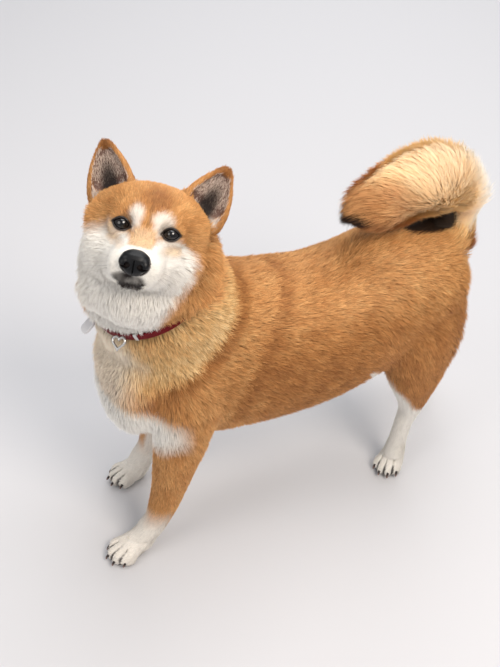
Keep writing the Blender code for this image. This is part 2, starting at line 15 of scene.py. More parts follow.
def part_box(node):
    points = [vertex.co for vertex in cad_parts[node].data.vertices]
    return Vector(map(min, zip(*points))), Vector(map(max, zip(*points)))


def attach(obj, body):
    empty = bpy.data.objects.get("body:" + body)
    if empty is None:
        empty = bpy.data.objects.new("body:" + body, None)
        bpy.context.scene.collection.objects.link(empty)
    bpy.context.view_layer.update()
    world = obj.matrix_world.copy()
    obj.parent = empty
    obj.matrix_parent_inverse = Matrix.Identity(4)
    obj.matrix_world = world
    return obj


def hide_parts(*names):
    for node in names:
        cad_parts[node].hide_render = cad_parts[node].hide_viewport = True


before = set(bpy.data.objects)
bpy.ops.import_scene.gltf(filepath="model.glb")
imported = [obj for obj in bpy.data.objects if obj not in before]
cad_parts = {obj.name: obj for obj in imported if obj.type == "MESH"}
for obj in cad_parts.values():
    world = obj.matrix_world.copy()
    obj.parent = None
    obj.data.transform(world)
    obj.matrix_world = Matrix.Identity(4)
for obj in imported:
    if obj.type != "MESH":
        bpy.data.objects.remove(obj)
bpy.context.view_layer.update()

# Studio: a plain pale floor, soft lamps and the camera.
# The camera stands 1.15 m up and looks down at the dog's left shoulder, as the photograph does.
CAMERA_PLACE = Vector((0.92104, -0.47438, 1.15076))
CAMERA_TARGET = Vector((-0.03510, -0.04668, 0.23700))
CAMERA_ROLL = math.radians(3.08)
CAMERA_LENS = 60.5
FLOOR_COLOUR = "#D5D5D8"
# Lamp: name, place, side in metres, watts, colour
LAMPS = (
    ("key_lamp", (1.55, 0.35, 2.10), 1.1, 36, "#FFF4E8"),
    ("front_lamp", (0.60, -2.20, 1.70), 1.6, 15, "#FFFAF4"),
    ("top_lamp", (-0.30, 0.40, 2.60), 2.2, 36, "#FFFFFF"),
    ("back_lamp", (-1.90, 1.10, 1.50), 1.6, 12, "#FFFFFF"),
)
ROOM_COLOUR = "#DADBDF"
ROOM_LIGHT = 0.50


def colour(code):
    """An sRGB hex code as the linear colour that a shader takes."""
    parts = [int(code[i : i + 2], 16) / 255 for i in (1, 3, 5)]
    return (*[p / 12.92 if p <= 0.04045 else ((p + 0.055) / 1.055) ** 2.4 for p in parts], 1.0)


def node(tree, kind, links=None, **settings):
    """Add a node. links maps an input's name or number to a value or to another node's output."""
    made = tree.nodes.new(kind)
    for name, value in settings.items():
        setattr(made, name, value)
    for name, value in (links or {}).items():
        if isinstance(value, bpy.types.NodeSocket):
            tree.links.new(value, made.inputs[name])
        else:
            made.inputs[name].default_value = value
    return made


def new_material(name):
    """A material with only its output and its main shader, and the two of them."""
    material = bpy.data.materials.new(name)
    material.use_nodes = True
    return material, material.node_tree, material.node_tree.nodes["Principled BSDF"]


def linked(obj):
    """Put an object into the scene."""
    bpy.context.scene.collection.objects.link(obj)
    return obj


def set_inputs(shader, **values):
    """Give a shader's sockets fixed values; an underscore in a name stands for a space."""
    for name, value in values.items():
        shader.inputs[name.replace("_", " ")].default_value = value


back = (CAMERA_PLACE - CAMERA_TARGET).normalized()
level = Vector((0, 0, 1)).cross(back).normalized()
upright = back.cross(level)
right = level * math.cos(CAMERA_ROLL) + upright * math.sin(CAMERA_ROLL)
above = upright * math.cos(CAMERA_ROLL) - level * math.sin(CAMERA_ROLL)
camera = linked(bpy.data.objects.new("camera", bpy.data.cameras.new("camera")))
camera.matrix_world = Matrix.Translation(CAMERA_PLACE) @ Matrix((right, above, back)).transposed().to_4x4()
camera.data.lens = CAMERA_LENS
bpy.context.scene.camera = camera

for name, place, side, watts, code in LAMPS:
    lamp = linked(bpy.data.objects.new(name, bpy.data.lights.new(name, "AREA")))
    lamp.data.shape, lamp.data.size = "DISK", side
    lamp.data.energy, lamp.data.color = watts, colour(code)[:3]
    lamp.location = place
    lamp.rotation_euler = (Vector((0, 0, 0.25)) - Vector(place)).to_track_quat("-Z", "Y").to_euler()

bpy.context.scene.view_settings.view_transform = "Standard"
room = bpy.data.worlds.new("room")
room.use_nodes = True
bpy.context.scene.world = room
room.node_tree.nodes["Background"].inputs["Color"].default_value = colour(ROOM_COLOUR)
room.node_tree.nodes["Background"].inputs["Strength"].default_value = ROOM_LIGHT

work = bmesh.new()
bmesh.ops.create_grid(work, x_segments=1, y_segments=1, size=8.0)
floor_mesh = bpy.data.meshes.new("floor")
work.to_mesh(floor_mesh)
work.free()
floor = linked(bpy.data.objects.new("floor", floor_mesh))
painted, tree, shader = new_material("painted_floor")
shader.inputs["Base Color"].default_value = colour(FLOOR_COLOUR)
shader.inputs["Roughness"].default_value = 0.75
floor_mesh.materials.append(painted)

# Lie of the coat: which way the hair grows, how deep the coat is over the skin and how long its hair is.
# A shiba's hair lies from the nose to the tail and down the legs, and stands off the cheeks, neck and tail.
# A row is a place, the way of the hair there, the coat's depth and the hair's length in mm, and a reach.
MM = 0.001
HEAD = (
    Matrix.Translation((0.0359, -0.1988, 0.4805))
    @ Matrix.Rotation(math.radians(65.9), 4, "Z")
    @ Matrix.Rotation(math.radians(-31.9), 4, "X")
    @ Matrix.Rotation(math.radians(9.9), 4, "Y")
)
# On the head: places in mm in its own axes, X to its left, Y to the back, Z up, from between the eyes.
# Rows with an X are on both sides.
HEAD_LIE = (
    ((0, -54, -15), (0, 1, 0.35), 1.0, 4, 9),
    ((0, -25, -3), (0, 1, 0.45), 2.0, 6, 12),
    ((0, -8, 25), (0, 0.65, 0.8), 2.4, 7, 14),
    ((40, 26, 32), (0.15, 0.75, 0.6), 3.2, 10, 10),
    ((0, 30, 45), (0, 1, 0.25), 3.5, 10, 20),
    ((0, 85, 28), (0, 1, -0.3), 8, 20, 26),
    ((26, -40, -34), (0.25, 1, -0.05), 1.6, 6, 11),
    ((15, -55, -45), (0.45, 0.8, -0.3), 1.2, 4.5, 9),
    ((20, -38, -55), (0.35, 0.8, -0.5), 2.0, 6, 11),
    ((0, -50, -60), (0, 0.5, -0.9), 2.4, 7, 11),
    ((26, -9, -16), (0.45, 0.85, -0.25), 1.8, 6, 9),
    ((26, -4, 0), (0.5, 0.8, 0), 0.8, 4, 8),
    ((20, -6, 15), (0.3, 0.6, 0.75), 2.2, 6, 10),
    ((46, 20, 8), (0.35, 1, -0.05), 4, 11, 14),
    ((50, 6, -32), (0.7, 0.6, -0.5), 5, 13, 14),
    ((66, 36, -34), (0.3, 0.85, -0.65), 8, 20, 20),
    ((44, 4, -62), (0.4, 0.3, -0.95), 6, 13, 16),
    ((0, 5, -80), (0, 0.05, -1), 8, 15, 22),
    ((48, 48, 24), (0.3, 0.15, 0.9), 2.0, 8, 11),
    ((58, 48, 52), (0.33, 0.1, 0.94), 0.9, 6, 13),
    ((66, 50, 74), (0.33, 0.1, 0.94), 0.7, 5, 10),
)
# On the body: a node and a place in its box, from its lowest corner (0, 0, 0) to its highest (1, 1, 1).
# Rows of the trunk off the middle are on both sides.
BODY_LIE = (
    ("neck", (0.5, 0.0, 0.45), (0, -0.1, -1), 11, 19, 34),
    ("neck", (1.0, 0.3, 0.5), (0.15, 0.40, -0.9), 12, 21, 34),
    ("neck", (0.5, 1.0, 0.9), (0, 0.9, -0.4), 10, 20, 34),
    ("chest", (0.5, 0.0, 0.6), (0, 0.1, -1), 11, 20, 30),
    ("chest", (0.5, 0.15, 0.1), (0, 0.6, -0.8), 10, 24, 30),
    ("chest", (0.98, 0.4, 0.8), (0.05, 0.6, -0.75), 10, 23, 34),
    ("chest", (0.5, 0.8, 1.0), (0, 1, -0.15), 9, 22, 34),
    ("trunk", (0.5, 0.3, 1.0), (0, 1, -0.05), 8, 20, 40),
    ("trunk", (0.5, 0.9, 1.0), (0, 1, 0.0), 8, 20, 40),
    ("trunk", (1.0, 0.1, 0.55), (0, 0.9, -0.4), 8, 19, 40),
    ("trunk", (1.0, 0.9, 0.6), (0, 0.95, -0.3), 8, 19, 40),
    ("trunk", (0.5, 0.1, 0.0), (0, 1, -0.2), 8, 20, 34),
    ("trunk", (0.5, 0.9, 0.1), (0, 1, -0.1), 8, 19, 34),
    ("rump", (0.5, 0.4, 1.0), (0, 1, -0.05), 8, 21, 36),
    ("rump", (0.98, 0.3, 0.6), (0.05, 0.7, -0.6), 8, 20, 36),
    ("rump", (0.8, 0.9, 0.6), (0, 0.3, -0.9), 12, 26, 32),
    ("rump", (0.5, 0.2, 0.0), (0, 0.8, -0.4), 8, 18, 26),
)
# On each leg: a part and a place in its box, the way of the hair, depth, length and reach
LEG_LIE = (
    ("fore_{}_upper", (0.7, 0.0, 0.8), (0, 0.3, -1), 10, 22, 26),
    ("fore_{}_upper", (0.8, 0.5, 0.5), (0, 0.4, -1), 6, 15, 24),
    ("fore_{}_upper", (0.7, 1.0, 0.15), (0, 0.5, -1), 7, 18, 22),
    ("fore_{}_upper", (0.5, 0.3, 0.0), (0, 0.15, -1), 4, 11, 20),
    ("fore_{}_lower", (0.5, 0.6, 0.7), (0, 0.1, -1), 3, 9, 20),
    ("fore_{}_lower", (0.5, 0.4, 0.1), (0, -0.2, -1), 2.2, 7, 16),
    ("fore_{}_paw", (0.5, 0.7, 0.9), (0, -0.8, -0.7), 1.8, 6, 15),
    ("fore_{}_paw", (0.5, 0.2, 0.5), (0, -0.9, -0.6), 1.2, 4.5, 14),
    ("hind_{}_upper", (0.9, 0.1, 0.75), (0, 0.5, -0.9), 7, 18, 30),
    ("hind_{}_upper", (0.8, 0.5, 0.5), (0, 0.4, -0.9), 7, 18, 30),
    ("hind_{}_upper", (0.6, 1.0, 0.55), (0, 0.4, -1), 14, 30, 28),
    ("hind_{}_upper", (0.5, 0.6, 0.0), (0, 0.1, -1), 5, 13, 20),
    ("hind_{}_lower", (0.5, 0.8, 0.8), (0, 0.0, -1), 3, 9, 18),
    ("hind_{}_lower", (0.5, 0.5, 0.2), (0, -0.1, -1), 2.2, 7, 15),
    ("hind_{}_paw", (0.5, 0.7, 0.9), (0, -0.8, -0.7), 1.8, 6, 14),
    ("hind_{}_paw", (0.5, 0.2, 0.5), (0, -0.9, -0.6), 1.2, 4.5, 13),
)
# Along the tail's middle line, from its root to its tip: places, and the half width of its bone and flesh
TAIL_LINE = (
    (-0.0111, 0.1743, 0.318),
    (-0.0111, 0.2003, 0.350),
    (-0.0111, 0.2103, 0.388),
    (-0.0101, 0.1973, 0.423),
    (-0.0091, 0.1673, 0.442),
    (-0.0081, 0.1333, 0.438),
    (-0.0071, 0.1003, 0.426),
    (-0.0071, 0.0753, 0.416),
    (-0.0071, 0.0593, 0.409),
)
TAIL_DEPTH = (8, 12, 17, 20, 21, 20, 17, 13, 8)
TAIL_HAIR = (12, 21, 30, 33, 34, 33, 30, 26, 19)
# Round the tail's end, where the hair lies forwards: place, way, depth, length and reach
TAIL_END_LIE = (
    ((-0.007, 0.060, 0.432), (0, -1, 0.05), 8, 27, 12),
    ((-0.007, 0.062, 0.404), (0, -1, 0.10), 7, 24, 11),
    ((-0.007, 0.092, 0.398), (0, -0.9, -0.20), 9, 22, 12),
)
LEGS = ("fore_left", "fore_right", "hind_left", "hind_right")
# The hair's final length on the body and on the upper legs, as shares of the rows above
BODY_HAIR = 0.64
UPPER_LEG_HAIR = 0.8
TAIL_REACH = 20
BATCH = 60000


def in_box(name, share):
    """The place at those shares of a node's box."""
    low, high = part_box(name)
    return [low[i] + (high[i] - low[i]) * share[i] for i in range(3)]


def head_rows():
    """The rows of the head's hair, in the frame's axes."""
    for place, way, depth, length, reach in HEAD_LIE:
        for side in (1, -1) if place[0] else (1,):
            at = HEAD @ Vector((place[0] * side * MM, place[1] * MM, place[2] * MM))
            turned = HEAD.to_3x3() @ Vector((way[0] * side, way[1], way[2]))
            yield (*at, *turned.normalized(), depth, length, reach)


def body_rows():
    """The rows of the body's hair, in the frame's axes."""
    for name, share, way, depth, length, reach in BODY_LIE:
        for side in (1, -1) if share[0] != 0.5 else (1,):
            place = in_box(name, (0.5 + (share[0] - 0.5) * side, share[1], share[2]))
            turned = Vector((way[0] * side, way[1], way[2])).normalized()
            yield (*place, *turned, depth, length * BODY_HAIR, reach)


def leg_rows(leg):
    """The rows of one leg's hair, in the frame's axes."""
    pair, side = leg.split("_")
    for name, share, way, depth, length, reach in LEG_LIE:
        if name.startswith(pair):
            from_left = share[0] if side == "left" else 1 - share[0]
            place = in_box(name.format(side), (from_left, share[1], share[2]))
            shorter = UPPER_LEG_HAIR if "upper" in name else 1
            yield (*place, *Vector(way).normalized(), depth, length * shorter, reach)


def tail_rows():
    """The rows of the tail's hair. At its root it stands nearly upright, and then follows the middle line."""
    ways = np.gradient(tail_line, axis=0)
    ways /= np.linalg.norm(ways, axis=1)[:, None]
    ways[:2] = (0, 0.15, 0.99)
    for at, way, depth, length in zip(tail_line, ways, TAIL_DEPTH, TAIL_HAIR):
        yield (*at, *way, depth, length, TAIL_REACH)
    for at, way, depth, length, reach in TAIL_END_LIE:
        yield (*at, *Vector(way).normalized(), depth, length, reach)


tail_line = np.array(TAIL_LINE)
lie = np.array([*head_rows(), *body_rows(), *[row for leg in LEGS for row in leg_rows(leg)], *tail_rows()])


def coat_lie(points):
    """The way of the hair, the coat's depth and the hair's length at each point, in metres."""
    out = np.empty((len(points), 5), np.float32)
    for start in range(0, len(points), BATCH):
        some = points[start : start + BATCH]
        away = np.linalg.norm(some[:, None, :] - lie[None, :, :3], axis=2) / (lie[:, 8] * MM)
        weight = (1 + away**2) ** -4
        weight /= weight.sum(axis=1)[:, None]
        out[start : start + BATCH] = weight @ lie[:, 3:8]
    out[:, 3:] *= MM
    return out[:, :3], out[:, 3], out[:, 4]


# Skin: the dog's one hide, over the head, ears, neck, body, legs and tail.
# It lies under the tips of the coat by the coat's depth, and has the lids, lips and toes that show through.
# It is drawn as one level surface over the solids, fine on the head and coarser on the body.
FLESH = [
    name
    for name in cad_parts
    if not name.startswith(("eye_", "nose", "collar_", "heart", "tag")) and "_claw_" not in name
]
HEAD_PARTS = ("head", "eye_left", "eye_right", "nose", "neck")
EARS = ("ear_left", "ear_right")
# How far apart the points of each level surface stand, and how wide a hollow is closed over
BODY_VOXEL = 0.0030
HEAD_VOXEL = 0.0012
PAW_VOXEL = 0.0016
BODY_CLOSING = 0.0075
HEAD_CLOSING = 0.009
# The collar: its own axes have Z up along the neck. The strap is let into the hide, which rises beside it,
# and the head's hide and the body's meet behind it.
COLLAR_MIDDLE = Vector((-0.0001, -0.1867, 0.3755))
COLLAR_AXIS = Vector((0.07, -0.43, 1.0)).normalized()
COLLAR_TURN = Vector((0, 0, 1)).rotation_difference(COLLAR_AXIS).to_matrix().to_4x4()
COLLAR = Matrix.Translation(COLLAR_MIDDLE) @ COLLAR_TURN
COLLAR_RADIUS = 0.066
STRAP_DENT = 0.0022
DENT_HALF = 0.007
DENT_RISE = 1.5
COLLAR_LAP = 0.010
# The eyes on the face, in mm. The open part of each has its half width, its height above and below the
# corners, and how far its outer corner is turned up.
EYE_SPREAD = 25.6
EYE_DEPTH = 3.0
EYE_RADIUS = 11.2
LID_THICKNESS = 1.7
LID_HALF = 9.7
LID_UP = 6.6
LID_DOWN = 5.9
LID_TURN = math.radians(6)
# The left ear in the head's axes, in mm: its root, the ways along and across it and out of its hollow,
# and the start and the half sizes of its round tip
EAR_AXIS = Vector((0.33, 0.02, 0.94)).normalized()
EAR_ROOT = Vector((47.5, 48.0, 24.0))
EAR_ACROSS = Vector((0.95, 0.30, -0.20))
EAR_ACROSS = (EAR_ACROSS - EAR_AXIS * EAR_ACROSS.dot(EAR_AXIS)).normalized()
EAR_FRONT = EAR_ACROSS.cross(EAR_AXIS)
EAR_FRONT = EAR_FRONT if EAR_FRONT.y < 0 else -EAR_FRONT
EAR_TIP_UP = 42.0
EAR_TIP_REACH = (14.6, 9.5, 11.8)
# The nose in the head's axes, in mm: its middle and half sizes
NOSE_MIDDLE = np.array((1.0, -65.0, -28.5))
NOSE_REACH = np.array((15.0, 10.5, 12.8))
# Where the hide lies lower than the coat's depth says, or higher for less than nought:
# place, reach and amount in mm
HEAD_TRIMS = (
    ((-60, 25, 3), 14, -6.0),
    ((-58, 25, -8), 10, -5.0),
    ((-55, 36, 20), 12, -3.0),
    ((-58, 27, -76), 19, -7.0),
    ((-46, 21, -87), 13, -5.5),
    ((-42, 77, -105), 18, -3.5),
    ((58, 28, -70), 20, -4.0),
    ((60, 30, 5), 16, -3.0),
    ((12, -12, -4), 7, 0.8),
    ((-12, -12, -4), 7, 0.8),
    ((1, -70, -28), 11, 2.0),
)
# Inside the curl of the tail: the middle and half sizes of a pad of flesh, which carries hair that fills it
# and is darkened as painted shadow
CURL_MIDDLE = np.array((-0.009, 0.168, 0.382))
CURL_PAD = np.array((0.008, 0.030, 0.020))
# Swellings of the body: middle, half sizes and softness in metres. The first is the back pushed up under the
# tail, the next two the loose hair under the tail and the last the fluff over the breastbone.
SWELLINGS = (
    ((-0.009, 0.140, 0.344), (0.042, 0.080, 0.027), 0.012),
    ((-0.008, 0.112, 0.411), (0.022, 0.038, 0.020), 0.010),
    ((-0.008, 0.156, 0.430), (0.032, 0.040, 0.025), 0.010),
    ((-0.006, -0.214, 0.226), (0.046, 0.0245, 0.046), 0.018),
)
# Paws: middle on the floor, half width and turn in degrees; then the gaps between the toes, as parts of
# the half width out from the middle, and how they fan
PAWS = {
    "fore_left": (0.0569, -0.2377, 0.0220, 18),
    "fore_right": (-0.0631, -0.2012, 0.0205, 8),
    "hind_left": (0.0369, 0.1423, 0.0200, 44),
    "hind_right": (-0.0861, 0.2503, 0.0190, -6),
}
TOE_GAPS = ((-0.46, -0.18), (0.0, 0.0), (0.46, 0.18))
GAP_HALF = 0.0009
GAP_FLOOR = 0.0018
PAW_DEPTH = 0.0010
ANKLE = 0.031
ANKLE_LAP = 0.006


def solids_of(names, swell=0.0008):
    """The points and triangles of copies of those nodes, each grown a little so that they meet."""
    points, triangles, count = [], [], 0
    for name in names:
        work = bmesh.new()
        work.from_mesh(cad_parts[name].data)
        bmesh.ops.remove_doubles(work, verts=work.verts, dist=0.00001)
        bmesh.ops.triangulate(work, faces=work.faces)
        work.normal_update()
        points += [v.co + v.normal * swell for v in work.verts]
        triangles += [[v.index + count for v in f.verts] for f in work.faces]
        count = len(points)
        work.free()
    return np.array(points, np.float32), np.array(triangles, np.int32)


def distances(points, triangles, voxel, band):
    """How far each point of a grid lies outside a closed form, and where the grid starts."""
    scale = vdb.createLinearTransform(voxelSize=voxel)
    grid = vdb.FloatGrid.createLevelSetFromPolygons(
        points, triangles=triangles, transform=scale, halfWidth=band
    )
    low, high = grid.evalActiveVoxelBoundingBox()
    field = np.zeros(tuple(np.array(high) - np.array(low) + 1), np.float32)
    grid.copyToArray(field, ijk=low)
    return field, low


def surface_of(field, low, voxel):
    """The points and triangles where a field is nought."""
    grid = vdb.FloatGrid()
    grid.transform = vdb.createLinearTransform(voxelSize=voxel)
    grid.background = 1.0
    grid.copyFromArray(np.ascontiguousarray(field, dtype=np.float32), ijk=low)
    return grid.convertToQuads(0.0)


def outer_form(points, triangles, voxel, band, lift=0.0):
    """The distances from the outside of all the solids together, moved out by lift and drawn again."""
    field, low = distances(points, triangles, voxel, 3 + int(lift / voxel) + 2)
    points, quads = surface_of(field - lift, low, voxel)
    triangles = np.vstack([quads[:, :3], quads[:, [0, 2, 3]]]).astype(np.int32)
    return distances(points, triangles, voxel, band)


def fit_to(field, low, other, other_low):
    """A field on another's grid, with the points that it doesn't reach left well outside."""
    out = np.full(other.shape, 1.0, np.float32)
    shift = np.array(low) - np.array(other_low)
    start = np.maximum(shift, 0)
    stop = np.minimum(shift + field.shape, other.shape)
    a = tuple(slice(s, e) for s, e in zip(start, stop))
    b = tuple(slice(s - d, e - d) for s, e, d in zip(start, stop, shift))
    out[a] = field[b]
    return out


def grid_points(low, shape, voxel, step=1):
    """The places of a grid's points, or of every few of them."""
    axes = [(np.arange(n) * step + o) * voxel for n, o in zip(shape, low)]
    return np.stack(np.meshgrid(*axes, indexing="ij"), axis=-1).reshape(-1, 3)


def in_axes(points, matrix):
    """Points in the axes of a matrix."""
    back_in = np.array(matrix.inverted())
    return points @ back_in[:3, :3].T + back_in[:3, 3]


def smooth_step(low, high, x):
    """0 before low and 1 past high, with a smooth rise between them."""
    t = np.clip((x - low) / (high - low), 0, 1)
    return t * t * (3 - 2 * t)


def smooth_least(a, b, soft):
    """The lesser of two fields, with a rounded join."""
    h = np.clip(0.5 + 0.5 * (b - a) / soft, 0, 1)
    return b + (a - b) * h - soft * h * (1 - h)


def blurred(field, rounds):
    """A field with its small bumps evened out."""
    for _ in range(rounds):
        for axis in range(3):
            field = (np.roll(field, 1, axis) + 2 * field + np.roll(field, -1, axis)) / 4
    return field


def almond(x, z, side):
    """How far a point lies outside the opening of an eye, seen from the front, in mm."""
    turn = LID_TURN * side
    along = (x * math.cos(turn) + z * math.sin(turn)) * side
    up = z * math.cos(turn) - x * math.sin(turn)
    share = np.clip(np.abs(along) / LID_HALF, 0, 1)
    top = LID_UP * (1 - share**2.0) ** 0.85
    low = LID_DOWN * (1 - share**2.2) ** 0.90
    inside = np.where(up > 0, up - top, -up - low)
    return np.maximum(inside * 0.85, np.abs(along) - LID_HALF)


def eye_middle(side):
    """The middle of an eyeball in the head's axes, in mm."""
    return np.array((side * EYE_SPREAD, EYE_DEPTH, 0.0))


def lip_height(x):
    """The height of the mouth's line on the head, in mm, from its middle under the nose out to its sides."""
    return -50.2 + 0.012 * x**2 - 1.6 * np.exp(-(((np.abs(x) - 7) / 4) ** 2))


def in_paw(x, y, leg):
    """Places over a paw as parts of its half width, across it and ahead of its middle."""
    px, py, half, turn = PAWS[leg]
    ox, oy = x - px, y - py
    cos, sin = math.cos(math.radians(turn)), math.sin(math.radians(turn))
    return (ox * cos + oy * sin) / half, (ox * sin - oy * cos) / half


def past_gap(lateral, ahead, gap, fan):
    """How far across a place lies from a gap between two toes, as a part of the paw's half width."""
    return np.abs(lateral - gap - fan * (ahead - 0.7))


def under_strap(ring):
    """How far places in the collar's axes lie outside the hide that the strap is let into."""
    around = np.linalg.norm(ring[:, :2], axis=1)
    return around - COLLAR_RADIUS + STRAP_DENT - np.maximum(0, np.abs(ring[:, 2]) - DENT_HALF) * DENT_RISE


def depth_on(low, shape, voxel, step=5):
    """The coat's depth on a grid, worked out at every few points and drawn out between them."""
    counts = [n // step + 2 for n in shape]
    depth = coat_lie(grid_points(low, counts, voxel, step))[1].reshape(counts)
    for axis, n in enumerate(shape):
        at = np.arange(n) / step
        base = at.astype(int)
        share = (at - base).astype(np.float32).reshape([-1 if a == axis else 1 for a in range(3)])
        depth = np.take(depth, base, axis) * (1 - share) + np.take(depth, base + 1, axis) * share
    return depth


def body_skin():
    """The hide of the body, the legs and the tail, from the ankles up to the collar."""
    points, triangles = solids_of(FLESH)
    field, low = outer_form(points, triangles, BODY_VOXEL, 20)
    closed, closed_low = outer_form(points, triangles, BODY_VOXEL, 20, lift=BODY_CLOSING)
    closed = fit_to(closed, closed_low, field, low) + BODY_CLOSING
    at = grid_points(low, field.shape, BODY_VOXEL)
    near = np.abs(field.ravel() + 0.02) < 0.032
    ring = in_axes(at[near], COLLAR)
    around = np.linalg.norm(ring[:, :2], axis=1)
    flat = field.ravel().copy()
    over = smooth_step(0.030, 0.018, np.abs(ring[:, 2])) * smooth_step(0.14, 0.12, around)
    flat[near] = flat[near] * (1 - over) + closed.ravel()[near] * over
    flat[near] += depth_on(low, field.shape, BODY_VOXEL).ravel()[near]
    flat[near] = np.maximum(flat[near], np.where(around < 0.12, under_strap(ring), -1))
    flat[near] = np.maximum(flat[near], np.where(around < 0.14, ring[:, 2] - COLLAR_LAP, -1))
    for middle, sizes, soft in SWELLINGS:
        swell = np.linalg.norm((at[near] - middle) / np.array(sizes), axis=1) - 1
        flat[near] = smooth_least(flat[near], swell * min(sizes), soft)
    pad = np.linalg.norm((at[near] - CURL_MIDDLE) / CURL_PAD, axis=1) - 1
    flat[near] = smooth_least(flat[near], pad * 0.012, 0.006)
    flat = np.maximum(flat, ANKLE - ANKLE_LAP - at[:, 2])
    field = blurred(flat.reshape(field.shape), 1)
    return surface_of(field, low, BODY_VOXEL)


def paw_skins():
    """The four paws, drawn finely so that their toes stay apart."""
    feet = [n for n in FLESH if n.endswith(("_paw", "_lower"))]
    field, low = outer_form(*solids_of(feet, 0.0006), PAW_VOXEL, 6)
    at = grid_points(low, field.shape, PAW_VOXEL)
    flat = field.ravel() + PAW_DEPTH + 0.002 * smooth_step(0.015, ANKLE, at[:, 2])
    flat = np.maximum(flat, at[:, 2] - ANKLE)
    for leg in LEGS:
        half = PAWS[leg][2]
        lateral, ahead = in_paw(at[:, 0], at[:, 1], leg)
        for gap, fan in TOE_GAPS:
            off = past_gap(lateral, ahead, gap, fan) * half
            slit = np.maximum(off - GAP_HALF, GAP_FLOOR - at[:, 2])
            slit = np.maximum(slit, (0.36 - ahead) * half)
            slit = np.where((np.abs(lateral) < 1.4) & (np.abs(ahead) < 1.7), slit, 1.0)
            flat = np.where(flat > -0.0050, np.maximum(-slit, flat), flat)
    return surface_of(flat.reshape(field.shape), low, PAW_VOXEL)


def round_ear_tip(form, places, side):
    """The ear on that side cut to its round tip."""
    off = places * (side, 1, 1) - np.array(EAR_ROOT) - EAR_TIP_UP * np.array(EAR_AXIS)
    tip = np.stack([off @ np.array(way) for way in (EAR_ACROSS, EAR_FRONT, EAR_AXIS)], axis=1)
    above = tip[:, 2] > 0
    tip = (np.linalg.norm(tip / EAR_TIP_REACH, axis=1) - 1) * 3.0 * MM
    return np.where(above & (np.abs(tip) < 0.03), np.maximum(form, tip), form)


def set_in_lids(form, places, side):
    """Lids laid over the eyeball on that side, with the almond opening cut between them."""
    x, y, z = (places - eye_middle(side)).T
    ball = np.sqrt(x**2 + y**2 + z**2)
    hole = almond(x, z, side)
    lid = np.maximum(ball - EYE_RADIUS - LID_THICKNESS, -hole)
    lid = np.where(y < 2, lid, ball - EYE_RADIUS + 2)
    form = smooth_least(form, lid * MM, 0.0035)
    return np.where(y < 3, np.maximum(form, -hole * MM), form)


def cut_lips(form, places):
    """The mouth: a groove under the nose, which runs out on both sides of the muzzle."""
    x, y, z = places.T
    groove = np.abs(z - lip_height(x)) - 0.9
    deep = smooth_step(-8, -16, y) * smooth_step(18, 12, np.abs(x))
    return np.maximum(form, -(np.maximum(groove, -(form / MM + 2.2)) * MM)) * deep + form * (1 - deep)


def head_skin():
    """The hide of the head, the ears and the upper neck, down to the collar."""
    points, triangles = solids_of(HEAD_PARTS)
    field, low = outer_form(points, triangles, HEAD_VOXEL, 26)
    field = blurred(field, 5)
    closed, closed_low = outer_form(points, triangles, HEAD_VOXEL, 26, lift=HEAD_CLOSING)
    closed = blurred(fit_to(closed, closed_low, field, low), 3) + HEAD_CLOSING
    ears, ears_low = outer_form(*solids_of(EARS, 0.0005), HEAD_VOXEL, 8)
    low_both = np.minimum(low, ears_low)
    high_both = np.maximum(np.array(low) + field.shape, np.array(ears_low) + ears.shape)
    room = np.zeros(high_both - low_both, np.float32)
    closed, field = fit_to(closed, low, room, low_both), fit_to(field, low, room, low_both)
    ears = blurred(fit_to(ears, ears_low, room, low_both), 1).ravel()
    low = tuple(int(n) for n in low_both)
    at = grid_points(low, field.shape, HEAD_VOXEL)
    flat = field.ravel().copy()
    near = ((flat > -0.031) & (flat < 0.009)) | (ears < 0.008)
    places = in_axes(at[near], HEAD) / MM
    ring = in_axes(at[near], COLLAR)
    behind = smooth_step(4, 20, places[:, 1]) * smooth_step(0.014, 0.034, ring[:, 2])
    form = flat[near] * (1 - behind) + closed.ravel()[near] * behind
    form += depth_on(low, field.shape, HEAD_VOXEL, 8).ravel()[near]
    form = smooth_least(form, ears[near], 0.010)
    for middle, reach, amount in HEAD_TRIMS:
        away = np.linalg.norm(places - middle, axis=1) / reach
        form += amount * MM * np.exp(-(away**2))
    for side in (1, -1):
        form = round_ear_tip(form, places, side)
        form = set_in_lids(form, places, side)
    form = cut_lips(form, places)
    form = np.maximum(form, under_strap(ring))
    form = np.maximum(form, -ring[:, 2] - COLLAR_LAP)
    flat[near] = form
    flat[~near & (flat < 0)] = -0.02
    return surface_of(flat.reshape(field.shape), low, HEAD_VOXEL)


def mesh_of(name, points, faces):
    """A smooth mesh object from arrays of points and of faces with the same number of corners."""
    mesh = bpy.data.meshes.new(name)
    mesh.vertices.add(len(points))
    mesh.vertices.foreach_set("co", np.ascontiguousarray(points, np.float32).ravel())
    corners = faces.shape[1]
    mesh.loops.add(faces.size)
    mesh.loops.foreach_set("vertex_index", np.ascontiguousarray(faces, np.int32).ravel())
    mesh.polygons.add(len(faces))
    mesh.polygons.foreach_set("loop_start", np.arange(0, faces.size, corners, dtype=np.int32))
    mesh.polygons.foreach_set("use_smooth", np.ones(len(faces), bool))
    mesh.update(calc_edges=True)
    return linked(bpy.data.objects.new(name, mesh))


